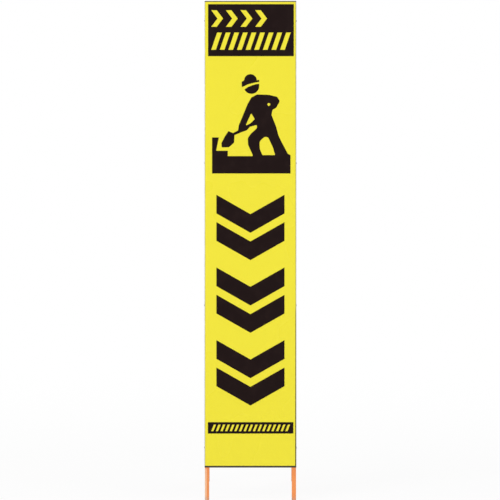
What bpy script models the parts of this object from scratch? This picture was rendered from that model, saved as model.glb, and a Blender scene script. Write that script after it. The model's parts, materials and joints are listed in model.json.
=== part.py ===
"""Slim road-works sign: a folded steel face on a square-tube frame, propped by a folding rear stand.

Metres, +Z up. The sign faces -Y. The origin is on the floor, in the middle of the footprint.
Heights and depths on the front frame are taken along the leaning uprights: depth is 0 on the tubes' front
faces, height is 0 at the feet. On the rear stand they are taken from the hinge axis.
"""

import math

import bmesh
import bpy
from mathutils import Matrix, Vector

# Driving sizes of the face and its edge
PANEL_WIDTH = 0.275
PANEL_HEIGHT = 1.400
SHEET_THICKNESS = 0.0005
SHEET_RETURN = 0.0115
BEND_RADIUS = 0.0012
BEND_STEPS = 3
CORNER_SLIT = 0.0008
FILM_THICKNESS = 0.0004
FILM_SIDE_MARGIN = 0.0016
FILM_TOP_MARGIN = 0.0025
FILM_FOOT_MARGIN = 0.0035
FILM_CORNER_RADIUS = 0.003
FILM_CORNER_STEPS = 4
PRINT_THICKNESS = 0.00025

# Driving sizes of the tube frames
TUBE = 0.013
TUBE_WALL = 0.0012
TUBE_CORNER = 0.002
TUBE_CORNER_STEPS = 3
LEG_LENGTH = 0.100
LEAN = math.radians(8.0)
PROP = math.radians(14.0)
HINGE_RAIL_TOP = 1.150
FOLD_GAP = 0.003
REAR_FOOT_BAR_HEIGHT = 0.150
REAR_MIDDLE_BAR_HEIGHT = 0.560
STAYS_TO_MIDDLE_RAIL = 0.0195

# Clearance between pieces that touch, and between welded ends
GAP = 0.0003

# Butt hinges that carry the rear stand
HINGE_LENGTH = 0.050
HINGE_OFFSET = 0.080
LEAF_THICKNESS = 0.0015
LEAF_EDGE_MARGIN = 0.001
KNUCKLE_RADIUS = 0.0032
KNUCKLE_SHARE = 0.36
KNUCKLE_GAP = 0.0005
HINGE_PIN_RADIUS = 0.0015
HINGE_PIN_CLEARANCE = 0.0002
HINGE_PIN_HEAD = 0.0012

# Slotted stays that stop the stand, and their rivets
STAY_WIDTH = 0.012
STAY_THICKNESS = 0.002
STAY_PIVOT_DROP = 0.060
STAY_PIN_DROP = 0.340
STAY_PIN_OFFSET = 0.001
STAY_END_WALL = 0.004
STAY_END_STEPS = 8
STAY_RIVET_RADIUS = 0.002
STAY_RIVET_HEAD_RADIUS = 0.0045
STAY_RIVET_HEAD = 0.0016
SLOT_SIDE_CLEARANCE = 0.0008
SLOT_FOLDED_CLEARANCE = 0.001
WASHER_THICKNESS = 0.001
WASHER_RADIUS = 0.0048

# Blind rivets that hold the face to the uprights
SIDE_RIVETS = 4
SIDE_RIVET_MARGIN = 0.060
SIDE_RIVET_RADIUS = 0.0016
SIDE_RIVET_HEAD_RADIUS = 0.0034
SIDE_RIVET_HEAD = 0.0011
SIDE_RIVET_HEAD_STEPS = 3
RIVET_BULB_GROWTH = 0.0008
RIVET_BULB_LENGTH = 0.0022

# Share of their radius that is flat on the crown of a hinge pin's and a stay rivet's head
PIN_CROWN = 0.7
STAY_RIVET_CROWN = 0.75

ROUND_STEPS = 20
CUTTER_OVERRUN = 0.002

# Edges that turn by more than this are shaded sharp
SHARP_ANGLE = math.radians(35)

# The artwork is drawn on a board of this size and stretched to the film
ARTBOARD_WIDTH = 0.275
ARTBOARD_HEIGHT = 1.400

# A corner of the artwork that bends less than this stays as drawn.
# A rounding takes at most this share of the shorter side beside it.
NEARLY_STRAIGHT = math.radians(4)
LONGEST_TRIM = 0.48

# Places that follow from the driving sizes
UPRIGHT_X = PANEL_WIDTH / 2 - SHEET_THICKNESS - GAP - TUBE / 2
INNER_X = UPRIGHT_X - TUBE / 2
OUTER_X = UPRIGHT_X + TUBE / 2
PANEL_FOOT = LEG_LENGTH
PANEL_TOP = LEG_LENGTH + PANEL_HEIGHT
FRAME_TOP = PANEL_TOP - SHEET_THICKNESS - GAP
SHEET_BACK = -GAP
SHEET_FRONT = SHEET_BACK - SHEET_THICKNESS
FILM_BACK = SHEET_FRONT - GAP
FILM_FRONT = FILM_BACK - FILM_THICKNESS
PRINT_BACK = FILM_FRONT - GAP
HINGE_DEPTH = TUBE + FOLD_GAP / 2
HINGE_HEIGHT = HINGE_RAIL_TOP + GAP + KNUCKLE_RADIUS
STAND_BAR_TOP = -(GAP + KNUCKLE_RADIUS)
STAND_DEPTH = FOLD_GAP / 2 + TUBE / 2
STAY_PIN_DEPTH = TUBE / 2 + STAY_PIN_OFFSET
MITRE_SETBACK = GAP / math.sqrt(2)


def front_to_floor(depth, height):
    """(y, z) of a point of the front frame, measured from the front edge of its feet."""
    return (
        depth * math.cos(LEAN) + height * math.sin(LEAN),
        height * math.cos(LEAN) - depth * math.sin(LEAN),
    )


HINGE_Y, HINGE_Z = front_to_floor(HINGE_DEPTH, HINGE_HEIGHT)
FOOTPRINT = HINGE_Y + HINGE_Z * math.tan(PROP) + (FOLD_GAP / 2 + TUBE) / math.cos(PROP)
FOOT_Y = -FOOTPRINT / 2
STAND_FOOT = -HINGE_Z / math.cos(PROP)


def stay_reach(opening):
    """(distance, angle) from a stay's pivot to its front pin, in the stand's frame, at that opening."""
    depth, height = STAY_PIN_DEPTH - HINGE_DEPTH, -STAY_PIN_DROP
    pin = (
        depth * math.cos(opening) + height * math.sin(opening),
        height * math.cos(opening) - depth * math.sin(opening),
    )
    run = pin[0] - STAND_DEPTH
    drop = -STAY_PIVOT_DROP - pin[1]
    return math.hypot(run, drop), math.atan2(run, drop)


STAY_OPEN, STAY_OPEN_ANGLE = stay_reach(LEAN + PROP)
STAY_FOLDED = stay_reach(0.0)[0]
SLOT_RADIUS = STAY_RIVET_RADIUS + SLOT_SIDE_CLEARANCE
SLOT_FAR_END = STAY_OPEN + STAY_RIVET_RADIUS + GAP
SLOT_NEAR_END = STAY_FOLDED - STAY_RIVET_RADIUS - SLOT_FOLDED_CLEARANCE
STAY_END = SLOT_FAR_END + STAY_END_WALL

# The middle rail sits just under the folded stays, and the lower rail halfway to the bottom rail
BOTTOM_RAIL = PANEL_FOOT + SHEET_THICKNESS + GAP + TUBE / 2
STAY_LOWEST = HINGE_HEIGHT - STAY_PIVOT_DROP - STAY_END
MIDDLE_RAIL = STAY_LOWEST - STAYS_TO_MIDDLE_RAIL - TUBE / 2
LOWER_RAIL = (BOTTOM_RAIL + MIDDLE_RAIL) / 2
HINGE_RAIL = HINGE_RAIL_TOP - TUBE / 2
TOP_RAIL = FRAME_TOP - TUBE / 2


# Scene, materials and objects


def clear_scene():
    for thing in list(bpy.data.objects):
        bpy.data.objects.remove(thing)


def material(name, colour, roughness, metallic):
    made = bpy.data.materials.new(name)
    made.use_nodes = True
    shader = made.node_tree.nodes["Principled BSDF"]
    shader.inputs["Base Color"].default_value = (*colour, 1.0)
    shader.inputs["Roughness"].default_value = roughness
    shader.inputs["Metallic"].default_value = metallic
    made.diffuse_color = (*colour, 1.0)
    return made


def empty(name, location, tilt=0.0, parent=None):
    """A joint or a leaning frame: its X axis runs across the sign."""
    made = bpy.data.objects.new(name, None)
    bpy.context.scene.collection.objects.link(made)
    made.location = location
    made.rotation_euler = (tilt, 0.0, 0.0)
    made.parent = parent
    return made


def piece(name, bm, parent, finish, location=(0, 0, 0), rotation=(0, 0, 0)):
    """Makes the bmesh a named object on its frame, with smooth shading between sharp edges."""
    bmesh.ops.recalc_face_normals(bm, faces=bm.faces[:])
    mesh = bpy.data.meshes.new(name)
    bm.to_mesh(mesh)
    bm.free()
    mesh.shade_smooth()
    mesh.set_sharp_from_angle(angle=SHARP_ANGLE)
    mesh.materials.append(finish)
    made = bpy.data.objects.new(name, mesh)
    bpy.context.scene.collection.objects.link(made)
    made.location = location
    made.rotation_euler = rotation
    made.parent = parent
    return made


def boolean(target, other, operation="DIFFERENCE"):
    """Cuts or joins target with a helper object, which stays out of the render."""
    other.hide_render = True
    other.display_type = "WIRE"
    modifier = target.modifiers.new(other.name, "BOOLEAN")
    modifier.operation = operation
    modifier.solver = "EXACT"
    modifier.object = other


def apply_modifiers():
    """Applies them on every piece, so that the edges they cut are shaded sharp as well."""
    graph = bpy.context.evaluated_depsgraph_get()
    for thing in bpy.context.scene.objects:
        if thing.hide_render or not thing.modifiers:
            continue
        mesh = bpy.data.meshes.new_from_object(thing.evaluated_get(graph))
        mesh.set_sharp_from_angle(angle=SHARP_ANGLE)
        thing.modifiers.clear()
        thing.data = mesh


# Shapes


def prism(bm, points, reach):
    """Adds a closed outline of points, extruded by the vector reach."""
    face = bm.faces.new([bm.verts.new(point) for point in points])
    raised = bmesh.ops.extrude_face_region(bm, geom=[face])
    moved = [item for item in raised["geom"] if isinstance(item, bmesh.types.BMVert)]
    bmesh.ops.translate(bm, verts=moved, vec=reach)


def arc(centre, radius, start, end, steps):
    """Points from start to end, in degrees, round a centre."""
    turns = [math.radians(start + (end - start) * n / steps) for n in range(steps + 1)]
    return [(centre[0] + radius * math.cos(t), centre[1] + radius * math.sin(t)) for t in turns]


def rounded_box(half_width, half_height, radius, steps):
    """A rectangle about the origin with round corners, anticlockwise."""
    points = []
    for side_x, side_y, start in ((1, -1, -90), (1, 1, 0), (-1, 1, 90), (-1, -1, 180)):
        centre = (side_x * (half_width - radius), side_y * (half_height - radius))
        points += arc(centre, radius, start, start + 90, steps)
    return points


def softened(corners, steps=3):
    """An outline whose corners (x, z, radius) are rounded by arcs of their radius."""
    outline = []
    for n, (x, z, radius) in enumerate(corners):
        here = Vector((x, z))
        before = Vector(corners[n - 1][:2]) - here
        after = Vector(corners[(n + 1) % len(corners)][:2]) - here
        corner = before.angle(after)
        if radius == 0 or corner > math.pi - NEARLY_STRAIGHT:
            outline.append((x, z))
            continue
        longest = LONGEST_TRIM * min(before.length, after.length)
        trim = min(radius / math.tan(corner / 2), longest)
        first, last = here + before.normalized() * trim, here + after.normalized() * trim
        for step in range(steps + 1):
            share = step / steps
            middle = first.lerp(here, share).lerp(here.lerp(last, share), share)
            outline.append(tuple(middle))
    return outline


def square_tube(name, parent, finish, low, high, location, rotation=(0, 0, 0)):
    """A square tube along its own Z. low and high give where it ends over each (x, y) of its section."""
    bm = bmesh.new()
    section = rounded_box(TUBE / 2, TUBE / 2, TUBE_CORNER, TUBE_CORNER_STEPS)
    face = bm.faces.new([bm.verts.new((x, y, 0)) for x, y in section])
    face.normal_update()
    bmesh.ops.inset_region(
        bm, faces=[face], thickness=TUBE_WALL, use_boundary=True, use_even_offset=True
    )
    bmesh.ops.delete(bm, geom=[face], context="FACES_ONLY")
    raised = bmesh.ops.extrude_face_region(bm, geom=bm.faces[:])
    top = {item for item in raised["geom"] if isinstance(item, bmesh.types.BMVert)}
    for vert in bm.verts:
        end = high if vert in top else low
        vert.co.z = end(vert.co.x, vert.co.y)
    return piece(name, bm, parent, finish, location, rotation)


def turned(name, profile, parent, finish, location, rotation=(0, 0, 0)):
    """A piece turned about its own X axis from (x, radius) pairs."""
    bm = bmesh.new()
    verts = [bm.verts.new((x, 0, radius)) for x, radius in profile]
    edges = [bm.edges.new(pair) for pair in zip(verts, verts[1:])]
    bmesh.ops.spin(
        bm,
        geom=verts + edges,
        cent=(0, 0, 0),
        axis=(1, 0, 0),
        angle=math.tau,
        steps=ROUND_STEPS,
        use_merge=True,
    )
    bmesh.ops.remove_doubles(bm, verts=bm.verts[:], dist=1e-6)
    return piece(name, bm, parent, finish, location, rotation)


def dome(height, radius, steps):
    """(x, radius) pairs of a low round head, from its crown to its rim."""
    turns = [math.pi / 2 * (1 - n / steps) for n in range(steps + 1)]
    return [(height * math.sin(t), radius * math.cos(t)) for t in turns]


def cross_drill(bm, places, radius, low_x, high_x):
    """Adds cylinders along X at each (y, z), for cutting holes."""
    for y, z in places:
        centre = Vector(((low_x + high_x) / 2, y, z))
        bmesh.ops.create_cone(
            bm,
            cap_ends=True,
            segments=ROUND_STEPS,
            radius1=radius,
            radius2=radius,
            depth=high_x - low_x,
            matrix=Matrix.Translation(centre) @ Matrix.Rotation(math.pi / 2, 4, "Y"),
        )


def on_side(side, near, far):
    """The two x values of a span given by its distances from the middle, low one first."""
    return sorted((side * near, side * far))


SIDES = (("left", -1), ("right", 1))


# Front frame


def side_rivet_heights():
    low = PANEL_FOOT + SIDE_RIVET_MARGIN
    high = PANEL_TOP - SIDE_RIVET_MARGIN
    return [low + (high - low) * n / (SIDE_RIVETS - 1) for n in range(SIDE_RIVETS)]


def side_rivet_cutter(label, side, frame, finish):
    """The holes through a sheet return and the upright's outer wall behind it."""
    places = [(TUBE / 2, height) for height in side_rivet_heights()]
    span = on_side(side, OUTER_X - 2 * TUBE_WALL, PANEL_WIDTH / 2 + CUTTER_OVERRUN)
    bm = bmesh.new()
    cross_drill(bm, places, SIDE_RIVET_RADIUS + GAP, *span)
    return piece(f"{label}_rivet_holes", bm, frame, finish)


def stay_rivet_cutter(name, side, place, frame, finish):
    """The hole for a stay's rivet through a tube's inner wall."""
    span = on_side(side, INNER_X - CUTTER_OVERRUN, INNER_X + 2 * TUBE_WALL)
    bm = bmesh.new()
    cross_drill(bm, [place], STAY_RIVET_RADIUS + GAP, *span)
    return piece(name, bm, frame, finish)


def upright(label, side, frame, finish):
    """One leg and side of the frame: cut flat for the floor, mitred for the top rail."""

    def floor_cut(x, y):
        return (y + TUBE / 2) * math.tan(LEAN)

    def mitre(x, y):
        return FRAME_TOP - MITRE_SETBACK - (TUBE / 2 - side * x)

    place = (side * UPRIGHT_X, TUBE / 2, 0)
    return square_tube(f"{label}_upright", frame, finish, floor_cut, mitre, place)


def cross_rail(name, height, depth, frame, finish):
    """A tube welded square between two uprights or legs."""
    half = INNER_X - GAP
    turn = (0, math.pi / 2, 0)
    return square_tube(
        name, frame, finish, lambda x, y: -half, lambda x, y: half, (0, depth, height), turn
    )


def mitred_rail(name, height, depth, frame, finish):
    """The top tube of a frame, its ends cut at 45 degrees. Its own X points down."""

    def reach(x):
        return UPRIGHT_X - MITRE_SETBACK - x

    turn = (0, math.pi / 2, 0)
    return square_tube(
        name, frame, finish, lambda x, y: -reach(x), lambda x, y: reach(x), (0, depth, height), turn
    )


def sign_sheet(frame, finish):
    """The galvanised face: one sheet whose four edges fold back over the frame, slit at the corners."""
    bm = bmesh.new()
    half = PANEL_WIDTH / 2
    corners = [
        (-half, SHEET_FRONT, PANEL_FOOT),
        (half, SHEET_FRONT, PANEL_FOOT),
        (half, SHEET_FRONT, PANEL_TOP),
        (-half, SHEET_FRONT, PANEL_TOP),
    ]
    prism(bm, corners, (0, SHEET_RETURN, 0))
    bmesh.ops.recalc_face_normals(bm, faces=bm.faces[:])
    back = [f for f in bm.faces if f.normal.y > 0.5]
    bmesh.ops.delete(bm, geom=back, context="FACES_ONLY")
    bends = [e for e in bm.edges if is_front(e)]
    bmesh.ops.bevel(
        bm, geom=bends, offset=BEND_RADIUS, segments=BEND_STEPS, profile=0.5, affect="EDGES"
    )
    sheet = piece("sign_sheet", bm, frame, finish)
    wall = sheet.modifiers.new("wall", "SOLIDIFY")
    wall.thickness = SHEET_THICKNESS
    wall.offset = -1
    wall.use_even_offset = True
    return sheet


def is_front(edge):
    return all(abs(vert.co.y - SHEET_FRONT) < 1e-7 for vert in edge.verts)


def corner_cuts(frame, finish):
    """Slits beside the top return's ends, and notches that let the legs pass the bottom return."""
    bm = bmesh.new()
    far = PANEL_WIDTH / 2 - SHEET_THICKNESS
    back = SHEET_FRONT + SHEET_RETURN + CUTTER_OVERRUN
    slit = (far - CORNER_SLIT, SHEET_FRONT + BEND_RADIUS, PANEL_TOP, -1)
    notch = (INNER_X - 2 * GAP, SHEET_BACK + GAP / 2, PANEL_FOOT, 1)
    for _, side in SIDES:
        for near, front, height, up in (slit, notch):
            low, high = on_side(side, near, far)
            start = height - up * CUTTER_OVERRUN
            outline = [(low, front, start), (high, front, start), (high, back, start), (low, back, start)]
            prism(bm, outline, (0, 0, up * (CUTTER_OVERRUN + BEND_RADIUS)))
    return piece("corner_cuts", bm, frame, finish)


def front_frame(frame, paint, zinc, helper):
    sheet = sign_sheet(frame, zinc)
    boolean(sheet, corner_cuts(frame, helper))
    pin_place = (STAY_PIN_DEPTH, HINGE_HEIGHT - STAY_PIN_DROP)
    for label, side in SIDES:
        tube = upright(label, side, frame, paint)
        holes = side_rivet_cutter(label, side, frame, helper)
        boolean(tube, holes)
        boolean(sheet, holes)
        boolean(tube, stay_rivet_cutter(f"{label}_pin_hole", side, pin_place, frame, helper))
    mitred_rail("top_rail", TOP_RAIL, TUBE / 2, frame, paint)
    cross_rail("hinge_rail", HINGE_RAIL, TUBE / 2, frame, paint)
    cross_rail("middle_rail", MIDDLE_RAIL, TUBE / 2, frame, paint)
    cross_rail("lower_rail", LOWER_RAIL, TUBE / 2, frame, paint)
    cross_rail("bottom_rail", BOTTOM_RAIL, TUBE / 2, frame, paint)


def side_rivets(frame, finish):
    """Blind rivets through the sheet returns: a domed head outside, an upset tail inside the tube."""
    tail = SHEET_THICKNESS + TUBE_WALL + 3 * GAP
    profile = dome(SIDE_RIVET_HEAD, SIDE_RIVET_HEAD_RADIUS, SIDE_RIVET_HEAD_STEPS) + [
        (0, SIDE_RIVET_RADIUS),
        (-tail, SIDE_RIVET_RADIUS),
        (-tail - RIVET_BULB_LENGTH / 2, SIDE_RIVET_RADIUS + RIVET_BULB_GROWTH),
        (-tail - RIVET_BULB_LENGTH, 0),
    ]
    for label, side in SIDES:
        for n, height in enumerate(side_rivet_heights(), 1):
            place = (side * (PANEL_WIDTH / 2 + GAP), TUBE / 2, height)
            turn = (0, 0, 0 if side > 0 else math.pi)
            turned(f"{label}_side_rivet_{n}", profile, frame, finish, place, turn)


# Reflective film and printed artwork


def on_face(x, z):
    """A point of the artwork, in millimetres from the board's middle and foot, placed on the film."""
    wide = 0.001 * x * (PANEL_WIDTH - 2 * FILM_SIDE_MARGIN) / (ARTBOARD_WIDTH - 2 * FILM_SIDE_MARGIN)
    tall = 0.001 * z * PANEL_HEIGHT / ARTBOARD_HEIGHT
    return wide, PANEL_FOOT + tall


def reflective_film(frame, finish):
    foot = PANEL_FOOT + FILM_FOOT_MARGIN
    top = PANEL_TOP - FILM_TOP_MARGIN
    half_width = PANEL_WIDTH / 2 - FILM_SIDE_MARGIN
    outline = rounded_box(half_width, (top - foot) / 2, FILM_CORNER_RADIUS, FILM_CORNER_STEPS)
    middle = (foot + top) / 2
    bm = bmesh.new()
    prism(bm, [(x, FILM_BACK, middle + z) for x, z in outline], (0, -FILM_THICKNESS, 0))
    piece("reflective_film", bm, frame, finish)


def printed(name, outline, frame, finish, openings=()):
    """A patch of black ink with the openings left unprinted, so that the film shows through."""
    bm = bmesh.new()
    face = [on_face(x, z) for x, z in outline]
    prism(bm, [(x, PRINT_BACK, z) for x, z in face], (0, -PRINT_THICKNESS, 0))
    patch = piece(name, bm, frame, finish)
    if openings:
        cutter = bmesh.new()
        for opening in openings:
            points = [(x, PRINT_BACK + GAP / 2, z) for x, z in (on_face(*p) for p in opening)]
            prism(cutter, points, (0, -PRINT_THICKNESS - GAP, 0))
        boolean(patch, piece(f"{name}_openings", cutter, frame, finish))
    return patch


def box_outline(left, right, foot, top):
    return [(left, foot), (right, foot), (right, top), (left, top)]


def slash_row(left, right, foot, top, count, slant, share):
    """Evenly spaced slanted bars between left and right, each taking that share of its pitch."""
    pitch = (right - left - slant) / (count - 1 + share)
    width = pitch * share
    bars = []
    for n in range(count):
        start = left + n * pitch
        bars.append(
            [(start, foot), (start + width, foot), (start + width + slant, top), (start + slant, top)]
        )
    return bars


def pointer_row(left, foot, top, count, pitch, stroke, depth):
    """Chevrons in a row that point right."""
    middle = (foot + top) / 2
    marks = []
    for n in range(count):
        x = left + n * pitch
        marks.append(
            [
                (x, foot),
                (x + stroke, foot),
                (x + stroke + depth, middle),
                (x + stroke, top),
                (x, top),
                (x + depth, middle),
            ]
        )
    return marks


def header_print(frame, ink):
    """The black header with a row of pointers over a row of hazard bars."""
    outline = box_outline(-127, 130, 1234, 1390)
    pointers = pointer_row(-118, 1322, 1372, 4, 44, 17, 19)
    bars = slash_row(-118, 121, 1253, 1305, 9, 18, 0.55)
    printed("header_print", outline, frame, ink, pointers + bars)


def footer_print(frame, ink):
    """The black footer strip with a row of small hazard bars."""
    outline = box_outline(-127.5, 128.5, 102, 136)
    bars = slash_row(-118, 119, 109, 129, 17, 8, 0.5)
    printed("footer_print", outline, frame, ink, bars)


def worker_prints(frame, ink):
    """The common digging-worker figure: helmet, head, and body with shovel on the ground."""
    dome = arc((0, 1161), 19, 180, 0, 12)
    brim = [(26, 1163), (26, 1157), (9, 1154), (-9, 1149), (-19, 1144), (-26, 1141), (-26, 1157)]
    printed("worker_helmet_print", dome + brim, frame, ink)

    chin = arc((3, 1144), 23, 205, 360, 12)
    brow = [(26, 1151), (15, 1149.5), (6, 1146.5), (-6, 1142)]
    printed("worker_head_print", chin + brow, frame, ink)

    left_ground = [(-115, 882, 0), (-115, 990, 0), (-95, 990, 0), (-103, 950, 0), (-68, 950, 0)]
    near_leg = [(-68, 934, 0), (6, 934, 0), (7, 937, 3), (-7, 968, 12), (-8, 988, 12), (2, 1002, 12)]
    shaft = [(20, 1018, 8), (19, 1028, 3), (-2, 1022, 4), (-10, 1012, 8), (-24, 1007, 5), (-48, 997, 0)]
    blade = [(-49, 975, 6), (-64, 961, 6), (-86, 960, 3), (-87, 973, 5), (-76, 994, 9), (-66, 1009, 2)]
    near_arm = [(-52, 1003, 0), (-37, 1011, 5), (-35, 1026, 6)]
    shoulder = [(-8, 1091, 12), (3, 1110, 8), (20, 1119, 10)]
    back = [(54, 1118, 20), (80, 1112, 5), (88, 1099, 5), (77, 1079, 7), (66, 1073, 5), (63, 1058, 9)]
    far_leg = [(77, 1022, 20), (84, 996, 20), (92, 979, 20), (112, 941, 2), (120, 937, 3), (120, 882, 0)]
    figure = left_ground + near_leg + shaft + blade + near_arm + shoulder + back + far_leg
    arm_gap = softened([(2, 1063, 2), (13, 1045, 3), (0, 1032, 2), (-15, 1025, 2)])
    leg_gap = softened(
        [(36, 937, 0), (74, 937, 0), (67, 961, 12), (53, 991, 7), (42, 992, 8), (27, 978, 12), (28, 955, 12)]
    )
    elbow_gap = arc((55, 1089), 4.5, 0, 337.5, 15)
    printed("worker_figure_print", softened(figure), frame, ink, [arm_gap, leg_gap, elbow_gap])


def chevron_prints(frame, ink):
    """Three pairs of bold chevrons in the space of the big lettering."""
    half, stroke, drop = 102, 56, 58
    pair_pitch, group_pitch, first_top = 82, 218, 818
    for group in range(3):
        for place in range(2):
            top = first_top - group * group_pitch - place * pair_pitch
            outline = [
                (-half, top),
                (-half, top - stroke),
                (0, top - stroke - drop),
                (half, top - stroke),
                (half, top),
                (0, top - drop),
            ]
            printed(f"chevron_print_{2 * group + place + 1}", outline, frame, ink)


# Hinges


def hinge_leaf(name, way, x, frame, finish, helper, knuckles):
    """A hinge leaf rolled round its pin, lying towards way on its bar. knuckles are its spans in x."""
    middle = KNUCKLE_RADIUS - LEAF_THICKNESS
    far = FOLD_GAP / 2 + TUBE - LEAF_EDGE_MARGIN
    half = HINGE_LENGTH / 2
    bm = bmesh.new()
    roll = arc((0, 0), KNUCKLE_RADIUS, -90, 270 - 360 / ROUND_STEPS, ROUND_STEPS - 1)
    prism(bm, [(-half, way * y, z) for y, z in roll], (HINGE_LENGTH, 0, 0))
    leaf = piece(name, bm, frame, finish, (x, 0, 0))

    plate = bmesh.new()
    outline = [(0, -KNUCKLE_RADIUS), (far, -KNUCKLE_RADIUS), (far, -middle), (0, -middle)]
    prism(plate, [(-half, way * y, z) for y, z in outline], (HINGE_LENGTH, 0, 0))
    boolean(leaf, piece(f"{name}_plate", plate, frame, helper, (x, 0, 0)), "UNION")

    cuts = bmesh.new()
    reach = KNUCKLE_RADIUS + KNUCKLE_GAP
    for low, high in knuckle_gaps(knuckles, half):
        corners = [(-reach, -reach), (reach, -reach), (reach, reach), (-reach, reach)]
        prism(cuts, [(low, y, z) for y, z in corners], (high - low, 0, 0))
    boolean(leaf, piece(f"{name}_gaps", cuts, frame, helper, (x, 0, 0)))

    bore = bmesh.new()
    cross_drill(
        bore, [(0, 0)], HINGE_PIN_RADIUS + HINGE_PIN_CLEARANCE, -half - CUTTER_OVERRUN, half + CUTTER_OVERRUN
    )
    boolean(leaf, piece(f"{name}_bore", bore, frame, helper, (x, 0, 0)))


def knuckle_gaps(knuckles, half):
    """The spans between -half and half that the knuckles leave, run out past the leaf's ends."""
    edges = [-half, *(end for knuckle in knuckles for end in knuckle), half]
    gaps = []
    for low, high in zip(edges[::2], edges[1::2]):
        if low == high:
            continue
        before = CUTTER_OVERRUN if low == -half else 0
        after = CUTTER_OVERRUN if high == half else 0
        gaps.append((low - before, high + after))
    return gaps


def hinges(front_hinge, stand, paint, zinc, helper):
    half = HINGE_LENGTH / 2
    centre = HINGE_LENGTH * KNUCKLE_SHARE / 2
    outer = [(-half, -centre - KNUCKLE_GAP / 2), (centre + KNUCKLE_GAP / 2, half)]
    inner = [(-centre + KNUCKLE_GAP / 2, centre - KNUCKLE_GAP / 2)]
    end = half + GAP
    head = HINGE_PIN_RADIUS + HINGE_PIN_HEAD
    profile = [
        (-end - HINGE_PIN_HEAD, 0),
        (-end - HINGE_PIN_HEAD, head * PIN_CROWN),
        (-end, head),
        (-end, HINGE_PIN_RADIUS),
        (end, HINGE_PIN_RADIUS),
        (end, head),
        (end + HINGE_PIN_HEAD, head * PIN_CROWN),
        (end + HINGE_PIN_HEAD, 0),
    ]
    for label, side in SIDES:
        x = side * HINGE_OFFSET
        hinge_leaf(f"{label}_hinge_front_leaf", -1, x, front_hinge, paint, helper, outer)
        hinge_leaf(f"{label}_hinge_rear_leaf", 1, x, stand, paint, helper, inner)
        turned(f"{label}_hinge_pin", profile, front_hinge, zinc, (x, 0, 0))


# Rear stand


def rear_leg(label, side, stand, finish):
    """A stand leg: mitred to the top bar, cut flat for the floor."""

    def floor_cut(x, y):
        return STAND_FOOT - (y + STAND_DEPTH) * math.tan(PROP)

    def mitre(x, y):
        return STAND_BAR_TOP - MITRE_SETBACK - (TUBE / 2 - side * x)

    place = (side * UPRIGHT_X, STAND_DEPTH, 0)
    return square_tube(f"{label}_rear_leg", stand, finish, floor_cut, mitre, place)


def rear_stand(stand, paint, helper):
    for label, side in SIDES:
        leg = rear_leg(label, side, stand, paint)
        place = (STAND_DEPTH, -STAY_PIVOT_DROP)
        boolean(leg, stay_rivet_cutter(f"{label}_pivot_hole", side, place, stand, helper))
    mitred_rail("rear_top_bar", STAND_BAR_TOP - TUBE / 2, STAND_DEPTH, stand, paint)
    cross_rail("rear_middle_bar", STAND_FOOT + REAR_MIDDLE_BAR_HEIGHT, STAND_DEPTH, stand, paint)
    cross_rail("rear_foot_bar", STAND_FOOT + REAR_FOOT_BAR_HEIGHT, STAND_DEPTH, stand, paint)


# Stays


def stadium(near, far, radius, steps):
    """A round-ended slot outline that hangs down from near to far."""
    low_end = arc((0, -(far - radius)), radius, 180, 360, steps)
    high_end = arc((0, -(near + radius)), radius, 0, 180, steps)
    return low_end + high_end


def stay(label, side, pivot, finish, helper):
    """A flat bar that turns on the rear leg and slides over the front pin in its slot."""
    outer = INNER_X - 2 * GAP - WASHER_THICKNESS
    low, high = on_side(side, outer - STAY_THICKNESS, outer)
    bm = bmesh.new()
    bar = stadium(-STAY_WIDTH / 2, STAY_END, STAY_WIDTH / 2, STAY_END_STEPS)
    prism(bm, [(low, y, z) for y, z in bar], (high - low, 0, 0))
    made = piece(f"{label}_stay", bm, pivot, finish)
    cuts = bmesh.new()
    slot = stadium(SLOT_NEAR_END, SLOT_FAR_END, SLOT_RADIUS, STAY_END_STEPS)
    start = low - CUTTER_OVERRUN
    prism(cuts, [(start, y, z) for y, z in slot], (high - low + 2 * CUTTER_OVERRUN, 0, 0))
    cross_drill(cuts, [(0, 0)], STAY_RIVET_RADIUS + GAP, start, high + CUTTER_OVERRUN)
    boolean(made, piece(f"{label}_stay_openings", cuts, pivot, helper))


def stay_rivet(name, side, place, frame, finish):
    """A shouldered rivet: head inside the stay, tail upset in the tube. Its X starts at the tube's face."""
    head_near = 3 * GAP + WASHER_THICKNESS + STAY_THICKNESS
    tail = TUBE_WALL + GAP
    profile = [
        (-head_near - STAY_RIVET_HEAD, 0),
        (-head_near - STAY_RIVET_HEAD, STAY_RIVET_HEAD_RADIUS * STAY_RIVET_CROWN),
        (-head_near - STAY_RIVET_HEAD / 2, STAY_RIVET_HEAD_RADIUS),
        (-head_near, STAY_RIVET_HEAD_RADIUS),
        (-head_near, STAY_RIVET_RADIUS),
        (tail, STAY_RIVET_RADIUS),
        (tail + RIVET_BULB_LENGTH / 2, STAY_RIVET_RADIUS + RIVET_BULB_GROWTH),
        (tail + RIVET_BULB_LENGTH, 0),
    ]
    turn = (0, 0, 0 if side > 0 else math.pi)
    turned(name, profile, frame, finish, (side * INNER_X, *place), turn)


def washer(name, side, place, frame, finish):
    """A flat washer between the tube and the stay."""
    bore = STAY_RIVET_RADIUS + GAP
    near, far = -GAP - WASHER_THICKNESS, -GAP
    profile = [(near, bore), (near, WASHER_RADIUS), (far, WASHER_RADIUS), (far, bore), (near, bore)]
    turn = (0, 0, 0 if side > 0 else math.pi)
    turned(name, profile, frame, finish, (side * INNER_X, *place), turn)


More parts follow.
